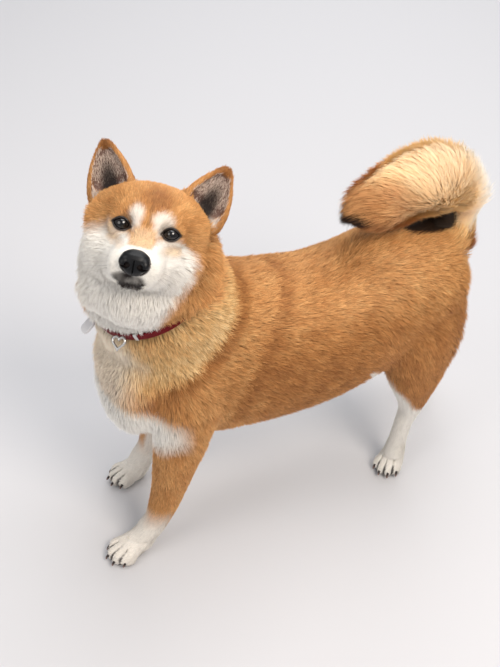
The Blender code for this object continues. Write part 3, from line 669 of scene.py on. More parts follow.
body_points, body_quads = body_skin()
head_points, head_quads = head_skin()
paw_points, paw_quads = paw_skins()
all_points = np.vstack([body_points, head_points, paw_points])
quads = np.vstack([
    body_quads,
    head_quads + len(body_points),
    paw_quads + len(body_points) + len(head_points),
])
past_body = np.arange(len(quads)) >= len(body_quads)
of_paw = np.arange(len(quads)) >= len(body_quads) + len(head_quads)
skin = mesh_of("skin", all_points, quads)
bpy.context.view_layer.objects.active = skin
skin.select_set(True)
bpy.ops.object.mode_set(mode="EDIT")
bpy.ops.mesh.select_all(action="SELECT")
bpy.ops.uv.smart_project(angle_limit=math.radians(80), island_margin=0.0005)
bpy.ops.object.mode_set(mode="OBJECT")
skin.data.uv_layers[0].name = "OFBake"

# Markings: a red shiba's coat. It is red-orange over the back and sides, golden on the ruff, and cream on the
# cheeks, muzzle, throat, chest, belly, insides of the legs and paws. The same markings colour skin and hair.
# Painted shade lies among the markings: in the creases behind the ruff and the head, along the collar, in the
# ears' canals, inside the tail's curl and between the toes. Painted light lightens sides of the tail and rump
# that face away from the lamps.
PARTS = sorted(FLESH)
# On the face, in mm: spots of cream over the eyes, with their middles and half sizes
EYE_SPOTS = ((-12.5, 13.0, 8.0, 9.5), (15.5, 12.0, 10.0, 8.5), (-10.5, 2.5, 5.5, 8.0), (12.0, 1.5, 5.5, 8.0))
# Spots of tan round the eyes: middle, half sizes, softness, strength, and how far back they reach
TAN_SPOTS = (
    ((32, -16), (10, 5), 0.6, 1, 6),
    ((-33, -14), (8, 4.5), 0.6, 1, 6),
    ((-37, -8), (4.5, 8), 0.6, 1, 14),
    ((-24, -17), (9, 3.6), 0.7, 0.6, 6),
)
# The black of the lips: middle, half sizes, softness and strength
LIP_SPOTS = (
    ((-0.5, -54.2), (14.0, 5.2), 0.30, 1.0),
    ((-6.0, -45.6), (12.5, 6.0), 0.35, 1.0),
    ((5.0, -46.0), (8.5, 5.0), 0.5, 0.90),
    ((-0.5, -49.5), (13.0, 4.5), 0.3, 1.0),
)
# How wide the cream of the face is at each height under the eyes, and how high it reaches at each width
CHEEK_HEIGHTS = (-110, -98, -83, -64, -51, -38, -25, -13, -5)
CHEEK_WIDTHS = (28, 30, 37, 45, 51, 56, 54, 47, 36)
FACE_WIDTHS = (0, 9, 14, 20, 30, 36, 42, 50, 60)
FACE_TOPS = (-15, -13, -9, -6.5, -6, -4.5, -7, -12, -17)
# The half width of an ear at each height from its root
EAR_UPS = (-24, -8, 6, 18, 30, 41, 50, 54.5, 56)
EAR_HALVES = (18, 27.5, 28.3, 25.8, 21.2, 14.5, 8.5, 4, 1)
# In metres, the edge between the red of the thigh and the cream in front of it: height, and place along Y
THIGH_HEIGHTS = (0.11, 0.125, 0.157, 0.183, 0.201, 0.244, 0.27)
THIGH_EDGES = (0.175, 0.153, 0.130, 0.112, 0.098, 0.055, 0.02)
# How far back the right hind leg stands at each height
STEP_HEIGHTS = (0.055, 0.087, 0.116, 0.150, 0.188, 0.225, 0.265, 0.310)
STEP_BACK = (0.105, 0.102, 0.095, 0.070, 0.044, 0.022, 0.008, 0.0)
# The edge of the ruff over the shoulders, with a painted shadow just behind it, and the ridge behind that,
# darkened as painted shade: height, and place along Y
RUFF_HEIGHTS = (0.240, 0.273, 0.288, 0.300, 0.328, 0.347, 0.361)
RUFF_EDGE = (-0.228, -0.197, -0.173, -0.152, -0.128, -0.108, -0.099)
RIDGE_HEIGHTS = (0.220, 0.261, 0.289, 0.314, 0.335, 0.349)
RIDGE = (-0.100, -0.086, -0.071, -0.058, -0.037, -0.021)
# The middle of the tail's curl, which the outside of the tail faces away from
TAIL_MIDDLE = np.array((-0.008, 0.145, 0.398))


def lumpy(points, size, seed):
    """Smooth uneven values from 0 to 1, with lumps of about that size."""
    at = points / size
    base = np.floor(at).astype(np.int64)
    part = at - base
    part = part * part * (3 - 2 * part)
    total = np.zeros(len(points))
    for corner in np.ndindex(2, 2, 2):
        x, y, z = (base + corner).T
        code = x * 73856093 ^ y * 19349663 ^ z * 83492791 ^ seed * 2654435761
        code = (code ^ (code >> 13)) * 1274126177 & 0xFFFFFFFF
        value = ((code ^ (code >> 16)) & 0xFFFF) / 65535
        wx, wy, wz = (np.abs(1 - corner[i] - part[:, i]) for i in range(3))
        total += value * (wx * wy * wz)
    return total


def along_tail(points):
    """How far along the tail each point lies, from 0 at its root to 1 at its tip."""
    nearest, share = np.full(len(points), 9.0), np.zeros(len(points))
    count = len(tail_line) - 1
    for i in range(count):
        a, b = tail_line[i], tail_line[i + 1]
        t = np.clip(((points - a) @ (b - a)) / np.dot(b - a, b - a), 0, 1)
        away = np.linalg.norm(points - a - t[:, None] * (b - a), axis=1)
        share = np.where(away < nearest, (i + t) / count, share)
        nearest = np.minimum(nearest, away)
    return share


def blob(x, z, middle, reach, soft=0.35):
    """1 inside an ellipse and 0 outside it, with a soft edge."""
    away = np.sqrt(((x - middle[0]) / reach[0]) ** 2 + ((z - middle[1]) / reach[1]) ** 2)
    return smooth_step(1 + soft, 1 - soft, away)


def mark_face(at, cream, tone):
    """Cream cheeks, muzzle and spots over the eyes, with a red bridge and tan round the eyes."""
    x, y, z = at.face.T
    side = np.abs(x)
    ragged = 2.5 * at.fine + 2.0 * at.wide
    far = smooth_step(-20, -45, x)
    cheek = smooth_step(7, -6, side - 22 * far - np.interp(z, CHEEK_HEIGHTS, CHEEK_WIDTHS) + ragged)
    over_face = z - np.interp(side, FACE_WIDTHS, FACE_TOPS) + ragged * 0.9
    cheek *= smooth_step(0, 1, (6 + 9 * far - over_face) / (11 + 14 * far))
    before_ear = smooth_step(36, 26, y - 14 * far + ragged)
    cheek *= np.where(z > -55, before_ear, smooth_step(74, 54, y - 8 * far))
    bridge = smooth_step(15, 9, side) * smooth_step(-50, -40, y)
    bridge = bridge * smooth_step(-19, -14, z) * smooth_step(6, -2, z)
    face = np.maximum(cheek, 0.9 * smooth_step(-40, -52, y))
    for mx, mz, rx, rz in EYE_SPOTS:
        reach = (rx * (1 + 0.2 * at.wide), rz * (1 + 0.2 * at.fine))
        face = np.maximum(face, blob(x, z, (mx, mz), reach, 0.5) * (y < 15) * 0.84)
    face = np.maximum(face * (1 - 0.80 * bridge), 0.22 * bridge)
    tan = np.zeros(len(x))
    for middle, reach, soft, strength, back_to in TAN_SPOTS:
        tan = np.maximum(tan, strength * blob(x, z, middle, reach, soft) * (y < back_to))
    line = np.abs(side - np.interp(z, (-22, -9), (30, 41))) < 2.2
    tan = np.maximum(tan * 0.50, 0.22 * (line & (z < -9) & (z > -22) & (y < 14)))
    face *= 1 - tan
    cream = np.where(at.head, face, cream)
    tone = np.where(at.head, tone + 0.30 * bridge + 0.7 * tan, tone)
    tone = np.where(at.head, tone - 0.30 * crown_of(at), tone)
    return cream, tone


def crown_of(at):
    """The top of the head, which is redder, from 0 to 1."""
    return blob(at.face[:, 0], at.face[:, 2], (5, 31), (17, 10), 0.6) * (at.face[:, 1] < 22)


def darken_face(at, dark):
    """The black of the lids, the lips and the skin round the nose, and the shaded groove of the brow."""
    x, y, z = at.face.T
    side = np.abs(x)
    groove = smooth_step(2.6, 0.8, np.abs(x - 2.2)) * smooth_step(2, 8, z) * smooth_step(30, 24, z) * (y < 5)
    dark = np.where(at.head, 0.16 * crown_of(at) * (0.5 + at.fine) + 0.22 * groove, dark)
    rim = np.minimum(almond(x - EYE_SPREAD, z, 1), almond(x + EYE_SPREAD, z, -1))
    brow = smooth_step(5, 2.2, rim) * smooth_step(0, 4, z) * smooth_step(-4, 0, 26 - side)
    by_eye = at.head & (y < 14)
    dark = np.where(by_eye, np.maximum(dark, 0.95 * smooth_step(2.2, 0.6, rim)), dark)
    dark = np.where(by_eye, np.maximum(dark, 0.45 * brow), dark)
    lips = 0.97 * smooth_step(2.4, 1.2, np.abs(z - lip_height(x))) * smooth_step(17, 12, side)
    for middle, reach, soft, strength in LIP_SPOTS:
        lips = np.maximum(lips, strength * blob(x, z, middle, reach, soft))
    front = smooth_step(-38, -48, y)
    dark = np.where(at.head, np.maximum(dark, front * lips * (0.92 + 0.2 * at.fine)), dark)
    off_nose = np.linalg.norm((at.face - NOSE_MIDDLE) / NOSE_REACH, axis=1)
    return np.where(at.head, np.maximum(dark, smooth_step(1.10, 1.0, off_nose)), dark)


def mark_ear(at, side, cream, tone, dark, bare):
    """One ear: red behind and along its rim, and mauve skin with pale hair inside, with painted shade down
    its canal.
    """
    ear = at.within("ear_left" if side > 0 else "ear_right")
    from_root = at.face * (side, 1, 1) - np.array(EAR_ROOT)
    up = from_root[:, 0] * EAR_AXIS[0] + from_root[:, 1] * EAR_AXIS[1] + from_root[:, 2] * EAR_AXIS[2]
    tone = np.where(ear, 0.42 + 0.1 * at.wide - 0.20 * smooth_step(38, 54, up), tone)
    cream = np.where(ear, 0.0, cream)
    dark = np.where(ear, 0.18 * smooth_step(40, 56, up), dark)
    off = from_root - up[:, None] * np.array(EAR_AXIS)
    over = off @ np.array(EAR_ACROSS)
    facing = (at.normals @ np.array(HEAD.to_3x3())) * (side, 1, 1) @ np.array(EAR_FRONT)
    within_rim = np.interp(up, EAR_UPS, EAR_HALVES) * 0.84 - 1.5 - np.abs(over) + at.fine
    cup = smooth_step(-1.5, 1.5, within_rim) * smooth_step(0.05, 0.35, facing)
    cup = cup * smooth_step(49, 45, up + at.fine) * (at.face[:, 1] < 75)
    behind = off @ np.array(EAR_FRONT) < -1.0
    cup = cup * (ear | (at.head & (up > -6) & behind & (at.face[:, 0] * side > 0)))
    bare = np.maximum(cup, bare)
    # Painted shade in the canal at the bottom of the ear's hollow
    canal_shade = blob(over, up, (3, 7), (10, 25), 0.50) * cup
    streaks = 0.25 * smooth_step(0.55, 0.9, lumpy(at.points * (1, 1, 0.35), 0.0022, 9)) * cup
    dark = np.where(cup > 0, np.maximum(canal_shade * 0.97, streaks), dark)
    fringe = cup * smooth_step(7, 12, over + 2 * at.fine) * smooth_step(8, -2, up)
    return np.maximum(cream, fringe), tone, dark, bare * (1 - 0.8 * fringe)


def mark_body(at, cream, tone, dark):
    """The throat and chest, the patch between the forelegs, the ruff, the nape, the flanks and the belly,
    with painted shade behind the ruff, along the ridge, in the crease of the nape and by the collar, and the
    rump golden by the tail's root, lightened there as painted light too.
    """
    x, y, z = at.points.T
    body = at.body
    middle = np.abs(x + 0.003)
    bib = smooth_step(0.062, 0.028, middle + 0.006 * at.wide) * smooth_step(-0.170, -0.205, y) * (z > 0.19)
    cream = np.where(body, np.maximum(cream, 0.62 * bib), cream)
    tone = tone + 0.28 * body * bib
    # Golden on the rump by the tail's root, and lighter still as painted light where it faces away from the
    # lamps
    tone = tone + 0.36 * body * smooth_step(0.340, 0.372, z) * smooth_step(0.18, 0.21, y)
    patch = blob(middle, z + 0.004 * at.wide, (0.0, 0.206), (0.094, 0.037), 0.20)
    patch = patch * smooth_step(-0.158, -0.182, y)
    cream = np.where(body, np.maximum(cream, patch), cream)
    behind = y - np.interp(z, RUFF_HEIGHTS, RUFF_EDGE)
    ruff = smooth_step(0.012, -0.012, behind) * body
    tone = tone + 0.34 * ruff * smooth_step(0.24, 0.30, z)
    # Painted shadow just behind the edge of the ruff
    ruff_shadow = smooth_step(0.0, 0.010, behind) * smooth_step(0.040, 0.018, behind)
    tone = tone - 0.24 * body * ruff_shadow * (z > 0.24)
    # Painted shade along the ridge behind the ruff, where the coat folds
    off_ridge = np.abs(y - np.interp(z, RIDGE_HEIGHTS, RIDGE))
    tone = tone - 0.20 * body * smooth_step(0.016, 0.004, off_ridge) * (z > 0.20) * (y < 0.02)
    turn = np.degrees(np.arctan2(at.ring[:, 1], at.ring[:, 0]))
    height = at.ring[:, 2]
    nape = smooth_step(34, 54, turn) * (x > -0.03)
    # Painted shade in the crease of the nape just behind the head
    nape_crease_shade = nape * smooth_step(-0.026, -0.014, height) * smooth_step(0.004, -0.004, height)
    tone = tone - 0.30 * body * nape_crease_shade
    # Painted shade in the fur along the collar's edges, in patches
    collar_edge_shade = smooth_step(0.006, 0.002, np.abs(height)) * smooth_step(2, 10, turn) * smooth_step(34, 22, turn)
    by_neck = np.linalg.norm(at.ring[:, :2], axis=1) < 0.1
    dark = np.maximum(dark, 0.6 * collar_edge_shade * by_neck * smooth_step(0.3, 0.7, 0.5 + at.fine))
    flank = body * smooth_step(0.33, 0.27, z) * smooth_step(-0.10, -0.06, y)
    tone = tone - 0.20 * flank + 0.05 * at.within("rump") + 0.05 * at.within("chest")
    belly = 0.9 * smooth_step(-0.60, -0.90, at.normals[:, 2] + 0.1 * at.fine)
    cream = np.where(at.within("trunk", "rump", "chest"), np.maximum(cream, belly), cream)
    return cream, tone, dark


def mark_leg(at, leg, cream, dark):
    """One leg: cream on its inside and its foot, with painted shade in the hair between the toes and dark
    hair on the sole.
    """
    y, z = at.points[:, 1], at.points[:, 2]
    nx, ny = at.normals[:, 0], at.normals[:, 1]
    side = 1 if leg.endswith("left") else -1
    here = at.within(leg)
    inner = smooth_step(0.35, 0.75, -nx * side)
    if leg.startswith("fore"):
        low = smooth_step(0.082, 0.044, z + 0.016 * smooth_step(0.1, 0.7, ny) - 0.006 * at.wide)
        edge = smooth_step(0.70, 0.92, ny) * smooth_step(0.17, 0.14, z)
        pale = np.maximum(np.maximum(low * 0.95, 0.85 * inner * smooth_step(0.22, 0.19, z)), edge * 0.9)
    else:
        stand = y - (np.interp(z, STEP_HEIGHTS, STEP_BACK) if side < 0 else 0)
        past_edge = stand - np.interp(z, THIGH_HEIGHTS, THIGH_EDGES)
        before = smooth_step(0.006, -0.006, past_edge + 0.003 * at.wide)
        low = smooth_step(0.122, 0.108, z)
        spot = smooth_step(0.113, 0.108, z) * smooth_step(0.088, 0.095, z) * smooth_step(0.2, 0.6, ny)
        pale = np.maximum(np.maximum(before, low * (1 - 0.8 * spot)), 0.8 * inner)
        pale = np.maximum(pale, 0.35 * smooth_step(0.75, 0.95, ny) * smooth_step(0.32, 0.26, z))
    cream = np.where(here, np.maximum(cream, pale), cream)
    lateral, ahead = in_paw(at.points[:, 0], y, leg)
    # Painted shade in the gaps between the toes
    for gap, fan in TOE_GAPS:
        off = past_gap(lateral, ahead, gap, fan) * PAWS[leg][2] / MM
        toe_gap_shade = smooth_step(2.0, 0.8, off) * smooth_step(0.40, 0.60, ahead) * smooth_step(0.021, 0.014, z)
        dark = np.where(here, np.maximum(dark, 0.85 * toe_gap_shade), dark)
    return cream, np.where(here, np.maximum(dark, 0.75 * smooth_step(0.0045, 0.0015, z)), dark)


def mark_tail(at, cream, tone, dark):
    """The tail: pale outside its curl, golden towards its tip and black under the tip, with painted shadow
    inside the curl and painted light on its crest and the back of its rising part.
    """
    points = at.points
    y, z = points[:, 1], points[:, 2]
    tail = at.within("tail")
    share = along_tail(points)
    from_middle = points - TAIL_MIDDLE
    outward = np.einsum("ij,ij->i", at.normals, from_middle) / np.linalg.norm(from_middle, axis=1)
    pale = smooth_step(0.85, 0.35, share) * (0.10 + 0.26 * smooth_step(-0.3, 0.8, outward)) + 0.02
    pale += 0.42 * smooth_step(0.50, 0.20, share) * smooth_step(0.2, 0.9, outward)
    # Painted light: the back of the tail's rising part is made paler, where it faces away from the lamps
    pale += 0.40 * smooth_step(0.180, 0.215, y) * smooth_step(0.375, 0.415, z)
    # Painted light: the outer crest of the curl is made paler and more golden, where its hair faces away from
    # the lamps
    crest_light = smooth_step(0.82, 1.0, outward) * smooth_step(0.30, 0.50, share)
    pale += 0.08 * crest_light
    pale *= smooth_step(0.0, 0.14, share)
    cream = np.where(tail, pale, cream)
    gold = 1.0 + 0.10 * at.wide - 0.60 * smooth_step(0.54, 0.90, share + 0.04 * at.fine)
    gold -= 0.26 * smooth_step(0.416, 0.396, z)
    # Painted light: more golden on the crest and on the back of the rising part
    gold += 0.36 * crest_light + 0.20 * smooth_step(0.19, 0.21, y) * smooth_step(0.40, 0.38, z)
    tone = np.where(tail, gold, tone)
    dark = np.where(tail, 0.97 * blob(y, z, (0.056, 0.404), (0.021, 0.014), 0.30), dark)
    # Painted shadow inside the curl, on the pad's hair and round it
    in_curl = np.linalg.norm((points - CURL_MIDDLE) / (CURL_PAD + (0.012, 0.004, 0.004)), axis=1)
    curl_shadow = 0.97 * smooth_step(1.18, 0.95, in_curl)
    return cream, tone, np.where(at.within("tail", "rump"), np.maximum(dark, curl_shadow), dark)


def markings(points, normals, parts):
    """How cream, how golden, how dark and how bare the coat is at each point, each from 0 to 1."""

    def within(*starts):
        """Whether the solid that each point lies by has a name with one of those starts."""
        return np.array([name.startswith(starts) for name in PARTS])[parts]

    at = SimpleNamespace(points=points, normals=normals, within=within)
    at.wide = (lumpy(points, 0.016, 3) - 0.5) * 2
    at.fine = (lumpy(points, 0.006, 5) - 0.5) * 2
    at.face = in_axes(points, HEAD) / MM
    at.ring = in_axes(points, COLLAR)
    at.head = (at.ring[:, 2] > -0.002) & at.within("head", "neck", "ear")
    at.body = ~at.head & ~at.within("ear")
    cream, dark, bare = np.zeros((3, len(points)))
    tone = 0.45 + 0.10 * at.wide + 0.06 * at.fine
    cream, tone = mark_face(at, cream, tone)
    dark = darken_face(at, dark)
    for side in (1, -1):
        cream, tone, dark, bare = mark_ear(at, side, cream, tone, dark, bare)
    cream, tone, dark = mark_body(at, cream, tone, dark)
    for leg in LEGS:
        cream, dark = mark_leg(at, leg, cream, dark)
    rear = 0.5 * smooth_step(0.8, 0.97, normals[:, 1]) * smooth_step(0.30, 0.26, points[:, 2])
    cream = np.where(at.within("rump"), np.maximum(cream, rear), cream)
    cream, tone, dark = mark_tail(at, cream, tone, dark)
    return [np.clip(value, 0, 1) for value in (cream, tone, dark, bare)]


# Coat: hair over the whole skin, in thin flat tufts that overlap along the lie of the coat.
# The hair of neighbouring tufts draws together into locks. Each tuft is a narrow blade, rooted in the skin.
TUFTS = 470000
# How much closer together than their length says the tufts grow on the head, in the ears and on the tail
HEAD_CROWDING = 1.5
EAR_CROWDING = 0.55
TAIL_CROWDING = 3.0
# Sides of a lock by the length of its hair, in metres
LONG_HAIR = 0.024
MIDDLE_HAIR = 0.012
LOCK_SIDES = (0.0064, 0.0044, 0.0026)
# The ears' hair: depth and length; and the hair of the pad inside the tail's curl
EAR_HAIR = (0.0011, 0.0060)
CURL_HAIR = (0.009, 0.022)
EAR_CREAM = 0.62
EAR_BARE = 0.28
TUFT_ROLL = np.radians(38)
# The pieces of the coat, and the starts of the names of the solids that each covers
GROUPS = {
    "coat_ears": ("ear_",),
    "coat_head": ("head",),
    "coat_neck": ("neck",),
    "coat_chest": ("chest",),
    "coat_trunk": ("trunk",),
    "coat_rump": ("rump",),
    "coat_tail": ("tail",),
    "coat_shoulders": ("fore_left_upper", "fore_right_upper"),
    "coat_thighs": ("hind_left_upper", "hind_right_upper"),
    "coat_legs": ("fore_left_lower", "fore_right_lower", "hind_left_lower", "hind_right_lower"),
    "coat_paws": ("fore_left_paw", "fore_right_paw", "hind_left_paw", "hind_right_paw"),
}
# A blade's places along its hair, its width at each as a share, its faces, and how many blades a piece has
SHORT_BLADE = ((0, 0.50, 1.0), (0.8, 1.0, 0), ((0, 1, 3, 2), (2, 3, 4)), 65000)
LONG_BLADE = ((0, 0.34, 0.70, 1.0), (0.7, 1.0, 0.72, 0), ((0, 1, 3, 2), (2, 3, 5, 4), (4, 5, 6)), 39000)
ROOT_SINK = 0.0006
SOLE = 0.0002
PATCH_SIDE = 0.003


def nearest_part(points):
    """Which solid each point lies in or by, as its number in PARTS."""
    solids = [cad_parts[name].data.vertices for name in PARTS]
    codes = [code for code, verts in enumerate(solids) for _ in verts]
    tree = KDTree(len(codes))
    for i, vert in enumerate(v for verts in solids for v in verts):
        tree.insert(vert.co, i)
    tree.balance()
    return np.array([codes[tree.find(point)[1]] for point in points])


def add_values(mesh, **values):
    """Give each point of a mesh its named values."""
    for name, value in values.items():
        layer = mesh.attributes.new(name, "FLOAT", "POINT")
        layer.data.foreach_set("value", np.ascontiguousarray(value, np.float32))


def unit(ways):
    """Ways of length one."""
    return ways / np.maximum(np.linalg.norm(ways, axis=1), 1e-9)[:, None]


def along(ways, others):
    """How far each way goes along another."""
    return np.einsum("ij,ij->i", ways, others)


def of_parts(codes, *starts):
    """Whether each number in PARTS is of a solid whose name has one of those starts."""
    return np.isin(codes, [i for i, name in enumerate(PARTS) if name.startswith(starts)])


def crowding_of(middles, face_parts, bare):
    """How many tufts grow on each face of the skin for its size: none where the hide is covered or bare."""
    ring = in_axes(middles, COLLAR)
    height = ring[:, 2]
    crowding = (coat_lie(middles)[2] / MM) ** -0.72
    crowding[(np.abs(height) < 0.0055) & (np.linalg.norm(ring[:, :2], axis=1) <= 0.12)] = 0
    crowding[height > 0] *= HEAD_CROWDING
    crowding[bare > 0.5] *= EAR_CROWDING
    crowding[of_parts(face_parts, "tail")] *= TAIL_CROWDING
    crowding[~past_body & (height > 0)] = 0
    crowding[past_body & ~of_paw & (height <= 0)] = 0
    crowding[of_paw & (middles[:, 2] > ANKLE - 0.004)] = 0
    crowding[of_paw & (middles[:, 2] < 0.0012)] = 0
    face = in_axes(middles, HEAD) / MM
    for side in (1, -1):
        x, y, z = (face - eye_middle(side)).T
        crowding[(np.abs(x) < 20) & (np.abs(z) < 16) & (y < 6) & (almond(x, z, side) < 1.6)] = 0
    x, y, z = ((face - NOSE_MIDDLE) / NOSE_REACH).T
    crowding[(x**2 + z**2 < 0.90) & (y < 1.2)] = 0
    return crowding


skin_co = np.empty(len(skin.data.vertices) * 3, np.float32)
skin.data.vertices.foreach_get("co", skin_co)
skin_co = skin_co.reshape(-1, 3).astype(float)
skin_no = np.array([v.vector for v in skin.data.vertex_normals])
skin_parts = nearest_part(skin_co)
cream, tone, dark, bare = markings(skin_co, skin_no, skin_parts)
# Painted shade on the skin, which lies in the coat's shade: darker, less so where it is cream
add_values(skin.data, cream=cream, tone=tone, dark=dark, bare=bare, shade=0.66 + 0.22 * cream)
uv = np.empty(len(skin.data.loops) * 2, np.float32)
skin.data.uv_layers["OFBake"].data.foreach_get("uv", uv)
uv = uv.reshape(-1, 4, 2)

# Roots of the tufts, spread over the faces of the skin by their size and crowding
corner = skin_co[quads]
areas = np.linalg.norm(np.cross(corner[:, 2] - corner[:, 0], corner[:, 3] - corner[:, 1]), axis=1) / 2
expected = areas * crowding_of(corner.mean(axis=1), skin_parts[quads[:, 0]], bare[quads[:, 0]])
expected *= TUFTS / expected.sum()
rng = np.random.default_rng(11)
steps = np.cumsum(expected)
count = int(steps[-1])
chosen = np.searchsorted(steps, np.arange(count) + rng.random(count))
chosen = np.minimum(chosen, len(quads) - 1)
a, b = rng.random(count), rng.random(count)
weights = np.stack([(1 - a) * (1 - b), a * (1 - b), a * b, (1 - a) * b], axis=1)
root = np.einsum("ij,ijk->ik", weights, corner[chosen])
root_no = np.einsum("ij,ijk->ik", weights, skin_no[quads[chosen]])
root_no /= np.linalg.norm(root_no, axis=1)[:, None]
root_uv = np.einsum("ij,ijk->ik", weights, uv[chosen])
root_part = skin_parts[quads[chosen, 0]]
is_tail = of_parts(root_part, "tail")

# The way, depth and length of each tuft, and its colours, which are those of the place half way along it
way, depth, length = coat_lie(root)
way = unit(way - root_no * along(way, root_no)[:, None])
half_way = root + unit(way) * (length * 0.5)[:, None] + root_no * (depth * 0.5)[:, None]
cream, tone, dark, bare = markings(half_way, root_no, root_part)
in_ear = bare > 0.5
cream = np.where(in_ear, EAR_CREAM, cream)
bare = bare * EAR_BARE
dark = np.where(in_ear, dark * 0.95, dark)

# The ears' hair is short and lies up to the ear's tip
for side, name in ((1, "ear_left"), (-1, "ear_right")):
    here = root_part == PARTS.index(name)
    way[here] = np.array(HEAD.to_3x3() @ Vector((EAR_AXIS.x * side, EAR_AXIS.y, EAR_AXIS.z)))
    depth[here], length[here] = EAR_HAIR

# Over the curl of the tail the hair fans out from its middle, and under it the hair hangs into the hollow
tail_share = along_tail(root)
hang = smooth_step(0.2, 0.8, along(unit(TAIL_MIDDLE - (0, 0, 0.02) - root), root_no)) * is_tail
hang *= smooth_step(0.36, 0.52, tail_share)
depth = depth + 0.002 * hang
fan = unit((root - CURL_MIDDLE) * (0, 1, 1))
fanned = is_tail * smooth_step(0.12, 0.30, tail_share) * smooth_step(0.98, 0.70, tail_share)
way = unit(way * (1 - 0.60 * fanned)[:, None] + fan * (0.85 * fanned)[:, None])
way = unit(way - root_no * along(way, root_no)[:, None] * (1 - 0.5 * fanned)[:, None])
in_curl = np.linalg.norm((root - CURL_MIDDLE) / (CURL_PAD + 0.002), axis=1) < 1.05
depth = np.where(in_curl, CURL_HAIR[0], depth)
length = np.where(in_curl, CURL_HAIR[1], length)

# Behind the tail's root the hair lies close
behind = smooth_step(0.195, 0.210, root[:, 1]) * smooth_step(0.330, 0.345, root[:, 2])
behind = behind * smooth_step(0.400, 0.385, root[:, 2])
depth = depth * (1 - 0.45 * behind)
length = length * (1 - 0.35 * behind)
length = np.maximum(length, depth * 1.25)
way = unit(way * (1 - 0.4 * hang)[:, None] + (np.array((0, -0.5, -0.8)) * (0.5 * hang)[:, None]))

# Locks: the tips of neighbouring tufts are drawn towards one another
size = np.where(length > LONG_HAIR, LOCK_SIDES[0], np.where(length > MIDDLE_HAIR, *LOCK_SIDES[1:]))
bend = np.stack([np.sin(root[:, (i + 1) % 3] * 190 + i) * 0.25 for i in range(3)], axis=1)
cell = np.floor(root / size[:, None] + bend + 1000).astype(np.int64)
keys = (cell[:, 0] * 4001 + cell[:, 1]) * 4001 + cell[:, 2] + (size * 1e7).astype(np.int64) * 10**11
lock = np.unique(keys, return_inverse=True)[1]
locks = lock.max() + 1
heads = np.stack([np.bincount(lock, root[:, i], locks) for i in range(3)], axis=1)
heads /= np.bincount(lock, minlength=locks)[:, None]
lock_random = rng.random((locks, 4))[lock]
noise = 0.14 * (lock_random[:, 1] - 0.5) + 0.06 * rng.normal(size=count)
tone = np.clip(tone + noise * (1 - 0.7 * is_tail), 0, 1)

# Small differences from lock to lock and from tuft to tuft, fewer on the tail
strays = 0.10 * (lumpy(root, 0.03, 8)[:, None] - 0.5) + 0.16 * (lock_random[:, :3] - 0.5)
way = unit(way + strays * (1 - 0.6 * is_tail[:, None]))
way = unit(way - root_no * along(way, root_no)[:, None])
jitter = rng.normal(size=(count, 4))
way = unit(way + np.cross(way, root_no) * (0.12 * jitter[:, 0] * (1 - 0.5 * is_tail))[:, None])
across = np.cross(way, root_no)
length = length * (0.92 + 0.16 * jitter[:, 1].clip(-1.5, 1.5)) * (0.9 + 0.22 * lock_random[:, 3])
uneven = 1 + 0.12 * jitter[:, 2].clip(-1.6, 1.6)
lofty = 0.88 + 0.22 * lock_random[:, 3] * (1 - 0.5 * is_tail)
height = np.minimum(depth * (uneven - 0.06) * lofty, length * 0.93)
reach = np.sqrt(length**2 - height**2)
width = np.clip(0.32 * MM + 0.024 * length, 0.0004, 0.0014)
width = width * (0.8 + 0.4 * rng.random(count)) * (1 - 0.35 * is_tail)
roll = TUFT_ROLL * jitter[:, 3].clip(-1.5, 1.5) * 0.6
flat_way = across * np.cos(roll)[:, None] + root_no * np.sin(roll)[:, None]
pull = heads[lock] - root
pull -= root_no * along(pull, root_no)[:, None]
pull *= (np.where(length > 0.017, 0.28, 0.42) * (1 - 0.35 * is_tail))[:, None]
blade_no = np.cross(flat_way, way)
is_long = length > LONG_HAIR

# Painted shade, with differences at random: how much darker the hair is at its root, where the coat shades
# it, how much lighter at its tip, and from one tuft to the next
pick = np.clip(0.5 + 0.22 * rng.normal(size=count) + 0.5 * (lock_random[:, 3] - 0.5), 0, 1)
root_shade = np.clip(0.30 - 0.22 * cream - 0.20 * is_tail - 0.10 * (length > 0.017), 0.06, 1)
tip_light = 0.10 + 0.10 * (1 - cream)
varied = 1 + (0.18 - 0.11 * cream - 0.08 * is_tail) * (pick - 0.5) * 2


def blades(rows, shares, widths):
    """Points of tufts: for each share of the length two points, and one at the tip."""
    points, alongs = [], []
    for share, wide in zip(shares, widths):
        rise = 1 - (1 - share) ** 1.9
        line = (
            root[rows]
            - root_no[rows] * ROOT_SINK
            + way[rows] * (reach[rows] * share)[:, None]
            + root_no[rows] * (height[rows] * rise)[:, None]
            + pull[rows] * share**1.3
        )
        half = flat_way[rows] * (width[rows] * wide / 2)[:, None]
        points += [line - half, line + half] if wide else [line]
        alongs += [share, share] if wide else [share]
    return np.stack(points, axis=1), np.array(alongs)


def collar_clear(points):
    """Keeps the hair under the strap and out of its way where the collar shows."""
    ring = in_axes(points.reshape(-1, 3), COLLAR)
    around = np.linalg.norm(ring[:, :2], axis=1)
    angle = np.degrees(np.arctan2(ring[:, 1], ring[:, 0]))
    shows = smooth_step(14, -4, angle) * smooth_step(-104, -84, angle)
    off = np.abs(ring[:, 2])
    over_strap = 0.0046 * smooth_step(0.0006, 0.0022, ring[:, 2])
    limit = COLLAR_RADIUS - 0.0008 + over_strap
    limit = limit + np.maximum(0, off - 0.0046) * np.where(ring[:, 2] > 0, 2.4, 3.8)
    limit = limit + (1 - shows) * 0.05
    scale = np.minimum(1, limit / np.maximum(around, 1e-6))
    scale = np.where((off < 0.03) & (around < 0.13), scale, 1)
    ring[:, :2] *= scale[:, None]
    turn = np.array(COLLAR)
    return (ring @ turn[:3, :3].T + turn[:3, 3]).reshape(points.shape)


